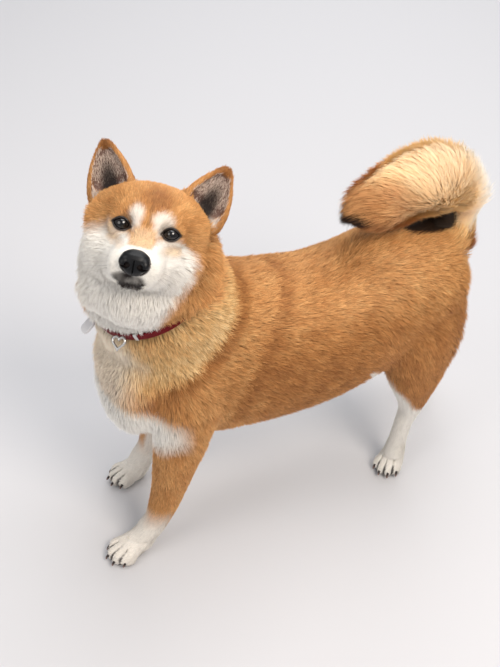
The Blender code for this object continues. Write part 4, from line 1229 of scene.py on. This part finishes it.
def dyed_hair():
    """The coat's material: red to golden by its tone, then cream, then bare skin, then dark, and last scaled
    by its painted shade and the tufts' differences.
    """
    material, tree, shader = new_material("red_shiba_coat")
    names = ("cream", "tone", "dark", "bare", "shade")
    values = {n: node(tree, "ShaderNodeAttribute", attribute_name=n).outputs["Fac"] for n in names}
    ramp = node(tree, "ShaderNodeValToRGB", {"Fac": values["tone"]})
    stops = ((0.0, "#9C6234"), (0.30, "#C2864C"), (0.55, "#DBA366"), (0.80, "#EBBF80"), (1.0, "#FFDDA4"))
    while len(ramp.color_ramp.elements) < len(stops):
        ramp.color_ramp.elements.new(0.5)
    for stop, (place, code) in zip(ramp.color_ramp.elements, stops):
        stop.position, stop.color = place, colour(code)
    shown = ramp.outputs["Color"]
    for name, code in (("cream", "#FAF6EE"), ("bare", "#8A6A5E"), ("dark", "#1E1310")):
        shades = {"Factor": values[name], 6: shown, 7: colour(code)}
        shown = node(tree, "ShaderNodeMix", shades, data_type="RGBA").outputs[2]
    # Painted shade: the colour is scaled down at the roots of the hair and on the skin
    final = node(tree, "ShaderNodeVectorMath", {0: shown, "Scale": values["shade"]}, operation="SCALE")
    tree.links.new(final.outputs[0], shader.inputs["Base Color"])
    set_inputs(shader, Roughness=0.62, Specular_IOR_Level=0.30)
    return material


coat = dyed_hair()
skin.data.materials.append(coat)
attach(skin, "root")
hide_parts(*FLESH)


def coat_piece(name, rows, shares, widths, faces):
    """One piece of the coat from the tufts of those rows, each with its own patch on the skin's unwrap."""
    points, alongs = blades(rows, shares, widths)
    points = collar_clear(points)
    points[..., 2] = np.maximum(points[..., 2], SOLE)
    n, per = points.shape[:2]
    order = np.concatenate([np.array(face) for face in faces])
    index = (order[None, :] + (np.arange(n) * per)[:, None]).astype(np.int32)
    sizes = np.array([len(face) for face in faces])
    starts = np.concatenate([[0], np.cumsum(sizes)[:-1]])
    starts = (starts[None, :] + (np.arange(n) * len(order))[:, None]).astype(np.int32)
    mesh = bpy.data.meshes.new(name)
    mesh.vertices.add(n * per)
    mesh.vertices.foreach_set("co", points.astype(np.float32).ravel())
    mesh.loops.add(index.size)
    mesh.loops.foreach_set("vertex_index", index.ravel())
    mesh.polygons.add(n * len(faces))
    mesh.polygons.foreach_set("loop_start", starts.ravel())
    mesh.polygons.foreach_set("use_smooth", np.ones(n * len(faces), bool))
    mesh.update(calc_edges=True)
    layer = mesh.uv_layers.new(name="OFBake")
    sides = np.array([(-0.5 if i % 2 == 0 else 0.5) if i < per - 1 else 0 for i in order])
    place = root_uv[rows][:, None, :] + np.stack([sides, alongs[order] - 0.5], axis=1)[None] * PATCH_SIDE
    layer.data.foreach_set("uv", np.clip(place, 0, 1).astype(np.float32).ravel())

    def each(value):
        """A tuft's value for each of its points."""
        return np.repeat(value[rows], per, axis=0)

    fade = np.tile(alongs, n)
    # Painted shade: each blade is darker towards its root and lighter at its tip, times its tuft's own
    # difference
    shade = 1 - each(root_shade) * (1 - np.minimum(fade / 0.9, 1)) + each(tip_light) * fade**2
    shade = shade * each(varied)
    add_values(mesh, cream=each(cream), tone=each(tone), dark=each(dark), bare=each(bare), shade=shade)
    facing = unit(0.8 * each(root_no) + 0.35 * each(blade_no))
    mesh.normals_split_custom_set_from_vertices(facing.tolist())
    mesh.materials.append(coat)
    piece = linked(bpy.data.objects.new(name, mesh))
    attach(piece, "root")


for name, starts in GROUPS.items():
    here = of_parts(root_part, *starts)
    for kind, mask, (*blade, most) in (("short", ~is_long, SHORT_BLADE), ("long", is_long, LONG_BLADE)):
        rows = np.flatnonzero(here & mask)
        rows = rows[np.argsort(root[rows, 1], kind="stable")]
        if len(rows):
            for number, some in enumerate(np.array_split(rows, math.ceil(len(rows) / most))):
                coat_piece(f"{name}_{kind}_{number + 1}", some, *blade)


# Eyes: two eyeballs, almost black, wet and clear in front.
# Each sits in its socket behind the lids, with the clear front standing a little out of the ball.
CORNEA_RISE = 0.9
CORNEA_SPREAD = 0.42
GAZE = Vector((0.0, -1.0, 0.05)).normalized()
# Colours by the angle from the middle of the gaze: pupil, iris, its dark edge and the white
EYE_STOPS = ((0.36, "#050404"), (0.44, "#110A07"), (0.68, "#0B0705"), (0.76, "#050404"), (0.95, "#2B211D"))


def fitted(piece, material, slot, *nodes):
    """Give a piece its material and body, and hide the solids that it stands for; the slot is not used."""
    piece.data.materials.clear()
    piece.data.materials.append(material)
    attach(piece, "root")
    if nodes:
        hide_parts(*nodes)


def finished(work, name):
    """A smooth object from a bmesh."""
    for face in work.faces:
        face.smooth = True
    mesh = bpy.data.meshes.new(name)
    work.to_mesh(mesh)
    work.free()
    return linked(bpy.data.objects.new(name, mesh))


eye_colour, tree, shader = new_material("wet_dark_eye")
gaze = node(tree, "ShaderNodeAttribute", attribute_name="gaze").outputs["Fac"]
rays = node(tree, "ShaderNodeTexNoise", {"Scale": 900.0, "Detail": 3.0}).outputs["Fac"]
mixed = node(tree, "ShaderNodeMath", {0: rays, 1: 0.10, 2: gaze}, operation="MULTIPLY_ADD")
ramp = node(tree, "ShaderNodeValToRGB", {"Fac": mixed.outputs[0]})
for place, code in EYE_STOPS:
    ramp.color_ramp.elements.new(place).color = colour(code)
ramp.color_ramp.elements.remove(ramp.color_ramp.elements[0])
tree.links.new(ramp.outputs["Color"], shader.inputs["Base Color"])
set_inputs(shader, Roughness=0.08, IOR=1.38, Coat_Weight=1.0, Coat_Roughness=0.02)
for side, name in ((1, "left"), (-1, "right")):
    work = bmesh.new()
    bmesh.ops.create_uvsphere(work, u_segments=48, v_segments=32, radius=EYE_RADIUS)
    turn = GAZE.to_track_quat("Z", "Y")
    angles = []
    for vert in work.verts:
        angles.append(vert.co.angle(Vector((0, 0, 1))))
        out = 1 + CORNEA_RISE / EYE_RADIUS * math.exp(-((angles[-1] / CORNEA_SPREAD) ** 2))
        vert.co = HEAD @ ((turn @ (vert.co * out) + Vector(eye_middle(side))) * MM)
    eyeball = finished(work, f"{name}_eyeball")
    add_values(eyeball.data, gaze=np.array(angles))
    fitted(eyeball, eye_colour, "eye", f"eye_{name}")

# Rims of the lids: bare black skin along the edges of both lids, drawn out to the tear duct.
# A thin round edge on the lid, wet where it meets the eye.
RIM_LIFT = 1.0
RIM_HALF = 1.05
DUCT_STRETCH = 1.16
DUCT_DROP = 1.2


def two_tone(tree, shader, value, dark, light):
    """Colour a material between two shades by a value; gives the ramp between them."""
    ramp = node(tree, "ShaderNodeValToRGB", {"Fac": value})
    ramp.color_ramp.elements[0].color, ramp.color_ramp.elements[1].color = colour(dark), colour(light)
    tree.links.new(ramp.outputs["Color"], shader.inputs["Base Color"])
    return ramp


def lofted(name, rings, closed=False):
    """A smooth mesh through rings of points; without closed, its two ends are capped."""
    work = bmesh.new()
    rows = [[work.verts.new(p) for p in ring] for ring in rings]
    count = len(rows[0])
    for i in range(len(rows) - (0 if closed else 1)):
        a, b = rows[i], rows[(i + 1) % len(rows)]
        for j in range(count):
            work.faces.new((a[j], a[(j + 1) % count], b[(j + 1) % count], b[j]))
    if not closed:
        work.faces.new(rows[0][::-1])
        work.faces.new(rows[-1])
    bmesh.ops.recalc_face_normals(work, faces=work.faces)
    return finished(work, name)


def turns(count):
    """Angles of a full turn, that many."""
    return [2 * math.pi * k / count for k in range(count)]


def wire(name, path, radii, sides, closed=False):
    """A round wire along a path, with its own radius at each place."""
    rings = []
    side_way = Vector((0.3, 0.2, 0.9))
    for i, place in enumerate(path):
        after = path[(i + 1) % len(path)] if closed or i + 1 < len(path) else place
        before = path[i - 1] if closed or i else place
        way_on = (after - before).normalized()
        side_way = (side_way - way_on * side_way.dot(way_on)).normalized()
        other = way_on.cross(side_way)
        ring = [place + (side_way * math.cos(t) + other * math.sin(t)) * radii[i] for t in turns(sides)]
        rings.append(ring)
    return lofted(name, rings, closed)


def join(pieces, name):
    """One object from several."""
    bpy.ops.object.select_all(action="DESELECT")
    for piece in pieces:
        piece.select_set(True)
    bpy.context.view_layer.objects.active = pieces[0]
    bpy.ops.object.join()
    pieces[0].name = pieces[0].data.name = name
    return pieces[0]


def lid_rim(side):
    """The rim round one eye, which follows the almond and runs out and down at the tear duct."""
    tilt = LID_TURN * side
    path, radii = [], []
    for t in turns(72):
        share = abs(math.cos(t))
        stretch = 1.0
        if math.cos(t) <= 0:
            stretch = DUCT_STRETCH if share > 0.97 else 1.0 + 0.05 * share
        along_lid = math.cos(t) * LID_HALF * stretch
        up = LID_UP * (1 - share**2.0) ** 0.85 if math.sin(t) > 0 else -LID_DOWN * (1 - share**2.2) ** 0.90
        x = along_lid * side * math.cos(tilt) - up * math.sin(tilt)
        z = along_lid * side * math.sin(tilt) + up * math.cos(tilt)
        if math.cos(t) < 0:
            z -= DUCT_DROP * max(0, share - 0.8) / 0.2
        y = -math.sqrt(max(20, (EYE_RADIUS + RIM_LIFT) ** 2 - x * x - z * z))
        path.append(HEAD @ ((Vector((x, y, z)) + Vector(eye_middle(side))) * MM))
        radii.append(RIM_HALF * MM * (0.75 + 0.35 * max(0, math.sin(t))))
    return wire("rim", path, radii, 10, closed=True)


bare_rim, tree, shader = new_material("bare_black_lid_skin")
mottle = node(tree, "ShaderNodeTexNoise", {"Scale": 700.0, "Detail": 4.0})
two_tone(tree, shader, mottle.outputs["Fac"], "#0C0908", "#241A17")
set_inputs(shader, Roughness=0.35)
fitted(join([lid_rim(1), lid_rim(-1)], "lid_rims"), bare_rim, "nose_skin")

# Nose: bare black skin over the end of the muzzle, wide above and narrow below, pebbled like leather.
# Two comma-shaped nostrils open in front, and a groove runs down its middle to the lip.
# Half sizes by height, in mm from the nose's middle
NOSE_STEP = 0.5
NOSE_ROOM = 18
NOSE_HEIGHTS = (-14, -10, -5, 0, 4, 8, 12)
NOSE_WIDTHS = (5.5, 8.8, 12.2, 14.4, 14.7, 13.0, 9.0)
NOSE_DEPTHS = (6.5, 8.4, 9.8, 10.6, 10.6, 9.2, 6.0)


def ball(places, middle, sizes):
    """How far places lie outside a stretched ball, as a part of its half sizes."""
    return np.sqrt(sum(((place - m) / size) ** 2 for place, m, size in zip(places, middle, sizes))) - 1


def nose_form():
    """The nose's points and faces in its own axes, in mm."""
    axis = np.arange(-NOSE_ROOM, NOSE_ROOM + 0.01, NOSE_STEP)
    x, y, z = np.meshgrid(axis, axis, axis, indexing="ij")
    wide, deep = np.interp(z, NOSE_HEIGHTS, NOSE_WIDTHS), np.interp(z, NOSE_HEIGHTS, NOSE_DEPTHS)
    form = (np.abs(x) / wide) ** 2.7 + (np.abs(y) / deep) ** 2.5 + (np.abs(z) / 12.9) ** 6
    form = (form**0.385 - 1) * 9
    for side in (1, -1):
        wing = ball((x, y, z), (10.4 * side, -6.0, -0.6), (4.8, 5.0, 6.0))
        form = smooth_least(form, wing * 4.5, 2.0)
    for side in (1, -1):
        hole = ball((x, y, z), (6.4 * side, -9.0, -2.4), (3.0, 6.0, 2.7))
        bent = z + 4.6 - 0.30 * (np.abs(x) - 10)
        slit = ball((x, y, bent), (10.6 * side, -8.0, 0.0), (5.0, 7.0, 1.1))
        form = np.maximum(form, -smooth_least(hole * 2.8, slit * 1.3, 0.5))
    groove = np.maximum(np.maximum(np.abs(x) - 0.55, -(form + 1.7)), z - 3)
    form = blurred(np.maximum(form, -groove), 1)
    return surface_of(form, (int(-NOSE_ROOM / NOSE_STEP),) * 3, NOSE_STEP)


leather, tree, shader = new_material("pebbled_black_nose")
pebbles = node(tree, "ShaderNodeTexVoronoi", {"Scale": 900.0}, feature="DISTANCE_TO_EDGE")
ramp = two_tone(tree, shader, pebbles.outputs["Distance"], "#040405", "#121317")
ramp.color_ramp.elements[1].position = 0.25
bump = node(tree, "ShaderNodeBump", {"Height": ramp.outputs["Color"], "Strength": 0.55, "Distance": 0.0005})
tree.links.new(bump.outputs["Normal"], shader.inputs["Normal"])
set_inputs(shader, Roughness=0.38, Specular_IOR_Level=0.32)
nose_points, nose_quads = nose_form()
turn = np.array(HEAD)
nose_points = ((nose_points + NOSE_MIDDLE) * MM) @ turn[:3, :3].T + turn[:3, 3]
fitted(mesh_of("nose_leather", nose_points, nose_quads), leather, "nose_skin", "nose")

# Lips: bare black edges that show along the front of the closed mouth.
# Two soft rolls of skin lie on each other in the groove under the nose.
# Rolls in mm: height over the mouth's line, half thickness and half length
LIP_ROLLS = ((0.9, 1.0, 14.5), (-1.7, 1.7, 12.0))
LIP_STEPS = 40
face_tree = BVHTree.FromPolygons([tuple(p) for p in head_points], [tuple(q) for q in head_quads.tolist()])


def on_face(x, z):
    """The place on the face's skin straight in front of a place in the head's axes, in mm."""
    start = HEAD @ Vector((x * MM, -0.11, z * MM))
    hit = face_tree.ray_cast(start, HEAD.to_3x3() @ Vector((0, 1, 0)))[0]
    return HEAD.inverted() @ hit / MM if hit else Vector((x, -55, z))


def lip_roll(lift, half, reach):
    """One roll of a lip, along the skin on both sides of the mouth's line."""
    path, radii = [], []
    for i in range(LIP_STEPS + 1):
        share = -1 + i / (LIP_STEPS / 2)
        x = share * reach
        z = lip_height(x) + lift
        y = max(on_face(x, z + beside).y for beside in (-2.2, 2.2))
        path.append(HEAD @ (Vector((x, y - 0.2, z)) * MM))
        radii.append(max(0.12, half * math.sqrt(max(0, 1 - share**4))) * MM)
    return wire("roll", path, radii, 10)


fitted(join([lip_roll(*roll_of) for roll_of in LIP_ROLLS], "lips"), bare_rim, "nose_skin")

# Claws: dark horn, four on each foot, thick at the root and worn blunt at the tip.
# Each grows out of the end of its toe and curves down to the floor.
CLAW_RINGS = 10
CLAW_SIDES = 12


def claw_horn(name):
    """A curved horn on the line of a claw's solid, and how near the tip each of its points is."""
    points = np.array([v.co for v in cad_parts[name].data.vertices])
    middle = points.mean(axis=0)
    line = np.linalg.svd(points - middle, full_matrices=False)[2][0]
    line = line if line[1] < 0 else -line
    spans = (points - middle) @ line
    span = spans.max() - spans.min()
    line, centre = Vector(line), Vector(middle)
    side_way = line.cross(Vector((0, 0, 1))).normalized()
    up_way = side_way.cross(line)
    off_centre = points - np.array(centre)
    thick, tall = (float(np.abs(off_centre @ np.array(way)).max()) for way in (side_way, up_way))
    rings, tips = [], []
    for i in range(CLAW_RINGS):
        share = i / (CLAW_RINGS - 1)
        size = math.sqrt(max(0.0, 1 - share**2.6)) * 0.92 + 0.05
        here = centre + line * (span * (share - 0.5)) + up_way * (tall * (0.35 - 0.75 * share**2))
        ring = []
        for t in turns(CLAW_SIDES):
            across_claw = side_way * (math.cos(t) * thick * 0.85 * size)
            at = here + across_claw + up_way * (math.sin(t) * tall * 0.62 * size)
            ring.append(Vector((at.x, at.y, max(at.z, 0.0003))))
            tips.append(share)
        rings.append(ring)
    return lofted(f"horn_{name}", rings), np.array(tips)


horn, tree, shader = new_material("dark_claw_horn")
tip = node(tree, "ShaderNodeAttribute", attribute_name="tip").outputs["Fac"]
grain = node(tree, "ShaderNodeTexNoise", {"Scale": 1500.0, "Detail": 3.0}).outputs["Fac"]
place = node(tree, "ShaderNodeMath", {0: grain, 1: 0.25, 2: tip}, operation="MULTIPLY_ADD")
ramp = two_tone(tree, shader, place.outputs[0], "#2A1F1C", "#8B6E63")
ramp.color_ramp.elements[0].position = 0.55
set_inputs(shader, Roughness=0.36)
for name in sorted(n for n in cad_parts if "_claw_" in n):
    claw, tips = claw_horn(name)
    add_values(claw.data, tip=tips)
    fitted(claw, horn, "claw", name)

# Collar: a narrow strap of dark red nylon webbing, stitched along both edges.
# It goes round the neck under the fur and shows only at the throat.
STRAP_WIDTH = 0.0095
STRAP_THICKNESS = 0.0026
STRAP_STEPS = 200
STRAP_SIDES = 20
EDGE_THINNING = 0.00035
THREAD_MM = 1.0
WEAVE_HALF = 5


def squarish(value, power):
    """A cosine or sine bent towards a square's, the more so the lower the power."""
    return math.copysign(abs(value) ** power, value)


def strap_ring(t):
    """The strap's outline at an angle round the neck."""
    ring = []
    for a in turns(STRAP_SIDES):
        across_strap = squarish(math.cos(a), 0.35) * STRAP_WIDTH / 2
        out = squarish(math.sin(a), 0.7) * STRAP_THICKNESS / 2
        out -= EDGE_THINNING * (across_strap / (STRAP_WIDTH / 2)) ** 6
        radius = COLLAR_RADIUS + STRAP_THICKNESS / 2 + out
        ring.append(COLLAR @ Vector((radius * math.cos(t), radius * math.sin(t), across_strap)))
    return ring


strap = lofted("collar_webbing", [strap_ring(t) for t in turns(STRAP_STEPS)], closed=True)
layer = strap.data.uv_layers.new(name="weave")
mm_round = 2 * math.pi * COLLAR_RADIUS / MM
for loop in strap.data.loops:
    step, k = divmod(loop.vertex_index, STRAP_SIDES)
    across_weave = math.cos(turns(STRAP_SIDES)[k]) * WEAVE_HALF
    layer.data[loop.index].uv = (step / STRAP_STEPS * mm_round, across_weave)
webbing, tree, shader = new_material("red_nylon_webbing")
weave = {
    "Vector": node(tree, "ShaderNodeUVMap", uv_map="weave").outputs["UV"],
    "Rotation": (0, 0, math.radians(35)),
    "Scale": (1 / THREAD_MM,) * 3,
}
turned = node(tree, "ShaderNodeMapping", weave).outputs["Vector"]
weave = {"Vector": turned, "Scale": 0.5, "Distortion": 0.6}
checks = node(tree, "ShaderNodeTexWave", weave, wave_type="BANDS")
two_tone(tree, shader, checks.outputs["Fac"], "#2C040A", "#8C121D")
bump = node(tree, "ShaderNodeBump", {"Height": checks.outputs["Fac"], "Strength": 0.6, "Distance": 0.0004})
tree.links.new(bump.outputs["Normal"], shader.inputs["Normal"])
set_inputs(shader, Roughness=0.62, Specular_IOR_Level=0.20)
fitted(strap, webbing, "collar", "collar_strap")


def new_tree(name, inputs):
    """A Geometry Nodes tree with named number inputs, its ends, its inputs' values and their identifiers."""
    made = bpy.data.node_groups.new(name, "GeometryNodeTree")
    made.interface.new_socket("Geometry", in_out="INPUT", socket_type="NodeSocketGeometry")
    made.interface.new_socket("Geometry", in_out="OUTPUT", socket_type="NodeSocketGeometry")
    known = {}
    for label, kind, value in inputs:
        socket = made.interface.new_socket(label, in_out="INPUT", socket_type=kind)
        socket.default_value = value
        known[label] = socket.identifier
    return made, node(made, "NodeGroupInput").outputs, node(made, "NodeGroupOutput"), known


def instanced(tree, sink, rows, material):
    """End a tree with its instances made real and given their material."""
    real = node(tree, "GeometryNodeRealizeInstances", {"Geometry": rows})
    coated = {"Geometry": real.outputs["Geometry"], "Material": material}
    coated = node(tree, "GeometryNodeSetMaterial", coated)
    tree.links.new(coated.outputs["Geometry"], sink.inputs["Geometry"])


def grown(obj, tree, settings):
    """Turn an object into the plain mesh that a Geometry Nodes tree makes from it."""
    modifier = obj.modifiers.new("grow", "NODES")
    modifier.node_group = tree
    for identifier, value in settings.items():
        modifier[identifier] = value
    bpy.context.view_layer.update()
    made = bpy.data.meshes.new_from_object(obj.evaluated_get(bpy.context.evaluated_depsgraph_get()))
    obj.modifiers.clear()
    obj.data = made


thread, tree, shader = new_material("red_sewing_thread")
twist = node(tree, "ShaderNodeTexWave", {"Scale": 900.0, "Distortion": 1.0})
two_tone(tree, shader, twist.outputs["Fac"], "#6A0F19", "#A8222E")
set_inputs(shader, Roughness=0.55)
STITCHES = (
    ("Radius", "NodeSocketFloat", COLLAR_RADIUS + STRAP_THICKNESS - 0.0001),
    ("Stitches", "NodeSocketInt", 160),
    ("Row height", "NodeSocketFloat", STRAP_WIDTH * 0.36),
    ("Stitch length", "NodeSocketFloat", 0.0018),
    ("Thread", "NodeSocketFloat", 0.0006),
)
tree, given, sink, known = new_tree("strap_stitches", STITCHES)
circle = node(tree, "GeometryNodeCurvePrimitiveCircle", {"Radius": given["Radius"], "Resolution": 96})
line = {"Curve": circle.outputs["Curve"], "Count": given["Stitches"]}
line = node(tree, "GeometryNodeCurveToPoints", line, mode="COUNT")
bead = node(tree, "GeometryNodeMeshUVSphere", {"Segments": 6, "Rings": 5, "Radius": 0.5})
size = {"X": given["Thread"], "Y": given["Thread"], "Z": given["Stitch length"]}
size = node(tree, "ShaderNodeCombineXYZ", size)
row = {
    "Points": line.outputs["Points"],
    "Instance": bead.outputs["Mesh"],
    "Rotation": line.outputs["Rotation"],
    "Scale": size.outputs["Vector"],
}
row = node(tree, "GeometryNodeInstanceOnPoints", row).outputs["Instances"]
both = node(tree, "GeometryNodeJoinGeometry")
shifted = []
for sign in (1, -1):
    height_of = node(tree, "ShaderNodeMath", {0: given["Row height"], 1: sign}, operation="MULTIPLY")
    shift = node(tree, "ShaderNodeCombineXYZ", {"Z": height_of.outputs[0]}).outputs["Vector"]
    shifted.append(node(tree, "GeometryNodeTransform", {"Geometry": row, "Translation": shift}))
for moved in shifted:
    tree.links.new(moved.outputs["Geometry"], both.inputs["Geometry"])
instanced(tree, sink, both.outputs["Geometry"], thread)
stitches = linked(bpy.data.objects.new("collar_stitches", bpy.data.meshes.new("collar_stitches")))
grown(stitches, tree, {known[label]: value for label, kind, value in STITCHES})
stitches.data.transform(COLLAR)
fitted(stitches, thread, "collar")

# Fittings of the collar: a silver keeper round the strap, a silver heart of wire and a white plastic tag.
# The heart and the tag hang from the strap's ring and lie on the fur of the throat.
# Seats: angle round the neck, distance from its middle, height on the strap and lean from the neck
HEART_SEAT = (-46.5, 0.0772, 0.0026, 60)
KEEPER_SEAT = (-33, 0.0673, 0.0, 0)
TAG_SEAT = (-87, 0.0795, -0.0026, 68)
HEART_WIDTH = 0.0156
HEART_WIRE = 0.0014
KEEPER_HALF = 0.0021
KEEPER_SHEET = 0.0005
TAG_SIZE = (0.0140, 0.0190, 0.0030)
# The tag's rounded edge: how far in from its sides, and how high as a part of its thickness
TAG_EDGE = ((0.0022, -0.5), (0.0005, -0.5), (0.0, -0.28), (0.0, 0.28), (0.0005, 0.5), (0.0022, 0.5))
TAG_RING = 0.0034
RING_WIRE = 0.0006


def on_collar(angle, radius, height_up, lean):
    """A place on the strap: X goes across, Y up along the coat and Z outwards."""
    return (
        COLLAR
        @ Matrix.Rotation(math.radians(angle), 4, "Z")
        @ Matrix.Translation((radius, 0, height_up))
        @ Matrix.Rotation(math.radians(90), 4, "Z")
        @ Matrix.Rotation(math.radians(90 - lean), 4, "X")
    )


def heart_path():
    """The heart's outline on its seat."""
    seat = on_collar(*HEART_SEAT)
    for t in turns(96):
        x = 16 * math.sin(t) ** 3
        y = 13 * math.cos(t) - 5 * math.cos(2 * t) - 2 * math.cos(3 * t) - math.cos(4 * t)
        yield seat @ Vector((x * HEART_WIDTH / 32, y * HEART_WIDTH / 32, 0))


def keeper_rings():
    """The keeper's sheet, bent round the strap, as rings across it."""
    seat = on_collar(*KEEPER_SEAT)
    for t in turns(40):
        high = squarish(math.cos(t), 0.4) * (STRAP_WIDTH / 2 + 0.0006)
        out = squarish(math.sin(t), 0.5) * (STRAP_THICKNESS / 2 + 0.0005)
        centre = Vector((0, high, out))
        ring = []
        for a in turns(12):
            across_sheet = Vector((squarish(math.cos(a), 0.5) * KEEPER_HALF, 0, 0))
            ring.append(seat @ (centre + across_sheet + centre.normalized() * (math.sin(a) * KEEPER_SHEET)))
        yield ring


def tag_rings(seat):
    """The tag's rounded slab, as rings round it from its back to its front."""
    for inset, out in TAG_EDGE:
        ring = []
        for a in turns(48):
            x = squarish(math.cos(a), 0.55) * (TAG_SIZE[0] / 2 - inset)
            y = squarish(math.sin(a), 0.55) * (TAG_SIZE[1] / 2 - inset)
            ring.append(seat @ Vector((x, y, out * TAG_SIZE[2])))
        yield ring


def tag_ring_path(seat):
    """The little ring that the tag hangs from, turned a little out of the tag's plane."""
    for t in turns(32):
        y = TAG_SIZE[1] / 2 + TAG_RING * math.cos(t) - RING_WIRE
        yield seat @ Vector((TAG_RING * math.sin(t), y, RING_WIRE * math.cos(t)))


silver, tree, shader = new_material("polished_silver_plate")
wear = node(tree, "ShaderNodeTexNoise", {"Scale": 450.0, "Detail": 5.0}).outputs["Fac"]
rough = node(tree, "ShaderNodeMapRange", {"Value": wear, "To Min": 0.16, "To Max": 0.38})
tree.links.new(rough.outputs[0], shader.inputs["Roughness"])
set_inputs(shader, Base_Color=colour("#C9C8C6"), Metallic=1.0)
heart = wire("heart_wire", list(heart_path()), [HEART_WIRE] * 96, 12, closed=True)
fitted(heart, silver, "silver", "heart_ring")
fitted(lofted("strap_keeper", list(keeper_rings()), closed=True), silver, "silver", "collar_keeper")
tag_white, tree, shader = new_material("white_moulded_plastic")
specks = node(tree, "ShaderNodeTexNoise", {"Scale": 600.0, "Detail": 4.0})
two_tone(tree, shader, specks.outputs["Fac"], "#D9D8DA", "#F4F3F4")
set_inputs(shader, Roughness=0.28)
seat = on_collar(*TAG_SEAT)
fitted(lofted("white_tag", list(tag_rings(seat))), tag_white, "white_plastic", "tag")
fitted(wire("tag_ring", list(tag_ring_path(seat)), [RING_WIRE] * 32, 10, closed=True), silver, "silver")

# Whiskers: stiff hairs on the sides of the muzzle, over the eyes and on the cheeks.
# Each is a thin tapered hair, rooted in the skin and bent back a little.
# Rows on the muzzle in mm: height, and places from the front to the back
WHISKER_ROWS = ((-31, (-53, -46, -39, -32)), (-36, (-54, -47, -40, -33)), (-41, (-52, -45, -38, -31)))
# Single whiskers over the eyes and on the cheeks in mm: place across, height and length
SINGLE_WHISKERS = ((14, 13, 15), (18, 15, 18), (34, -20, 20))


def head_way(x, y, z):
    """A way in the head's axes, turned into the frame's."""
    return HEAD.to_3x3() @ Vector((x, y, z))


def whisker_roots(side):
    """The root, the way and the length of each whisker on one side."""
    for row_number, (z, ys) in enumerate(WHISKER_ROWS):
        for column, y in enumerate(ys):
            start = HEAD @ Vector((side * 0.07, (y - 0.5) * MM, z * MM))
            hit = face_tree.ray_cast(start, head_way(-side, 0, 0))[0]
            if hit:
                drop = -0.10 - 0.16 * row_number + 0.05 * ((column * 7 + row_number * 3) % 4 - 1.5)
                aim = head_way(side * 0.85, 0.15 + 0.22 * column, drop).normalized()
                yield hit, aim, 0.019 + 0.0065 * column + 0.002 * row_number
    for x, z, size in SINGLE_WHISKERS:
        aim = head_way(side * 0.35, -0.55, 0.75 if z > 0 else -0.3).normalized()
        yield HEAD @ (on_face(side * x, z) * MM), aim, size * MM


roots, aims, sizes = zip(*whisker_roots(1), *whisker_roots(-1))
mesh = bpy.data.meshes.new("whiskers")
mesh.from_pydata([tuple(place) for place in roots], [], [])
layer = mesh.attributes.new("aim", "FLOAT_VECTOR", "POINT")
layer.data.foreach_set("vector", np.array(aims, np.float32).ravel())
add_values(mesh, size=np.array(sizes))
whisker_hair, tree, shader = new_material("stiff_whisker_hair")
streak = node(tree, "ShaderNodeTexNoise", {"Scale": 200.0})
two_tone(tree, shader, streak.outputs["Fac"], "#84776E", "#DDD5CD")
set_inputs(shader, Roughness=0.4)
WHISKERS = (("Thickness", "NodeSocketFloat", 0.0034), ("Bend", "NodeSocketFloat", 0.14))
tree, given, sink, known = new_tree("grow_whiskers", WHISKERS)
line = node(tree, "GeometryNodeCurvePrimitiveLine", {"Start": (0, 0, 0), "End": (0, 0, 1)})
line = node(tree, "GeometryNodeResampleCurve", {"Curve": line.outputs["Curve"], "Count": 8})
share = node(tree, "GeometryNodeSplineParameter").outputs["Factor"]
square = node(tree, "ShaderNodeMath", {0: share, 1: 2.0}, operation="POWER").outputs[0]
bent = node(tree, "ShaderNodeMath", {0: square, 1: given["Bend"]}, operation="MULTIPLY").outputs[0]
bent = node(tree, "ShaderNodeCombineXYZ", {"X": bent}).outputs["Vector"]
moved = node(tree, "GeometryNodeSetPosition", {"Geometry": line.outputs["Curve"], "Offset": bent})
taper = node(tree, "ShaderNodeMapRange", {"Value": share, "To Min": 1.0, "To Max": 0.12}).outputs[0]
sized = node(tree, "GeometryNodeSetCurveRadius", {"Curve": moved.outputs["Geometry"], "Radius": taper})
outline = node(tree, "GeometryNodeCurvePrimitiveCircle", {"Resolution": 5, "Radius": given["Thickness"]})
hair = {
    "Curve": sized.outputs["Curve"],
    "Profile Curve": outline.outputs["Curve"],
    "Scale": taper,
    "Fill Caps": True,
}
hair = node(tree, "GeometryNodeCurveToMesh", hair).outputs["Mesh"]
aim = node(tree, "GeometryNodeInputNamedAttribute", {"Name": "aim"}, data_type="FLOAT_VECTOR")
size = node(tree, "GeometryNodeInputNamedAttribute", {"Name": "size"}, data_type="FLOAT")
facing = node(tree, "FunctionNodeAlignRotationToVector", {"Vector": aim.outputs["Attribute"]}, axis="Z")
many = {
    "Points": given["Geometry"],
    "Instance": hair,
    "Rotation": facing.outputs["Rotation"],
    "Scale": size.outputs["Attribute"],
}
many = node(tree, "GeometryNodeInstanceOnPoints", many)
instanced(tree, sink, many.outputs["Instances"], whisker_hair)
whiskers = linked(bpy.data.objects.new("whiskers", mesh))
grown(whiskers, tree, {known[label]: value for label, kind, value in WHISKERS})
fitted(whiskers, whisker_hair, "red_coat")
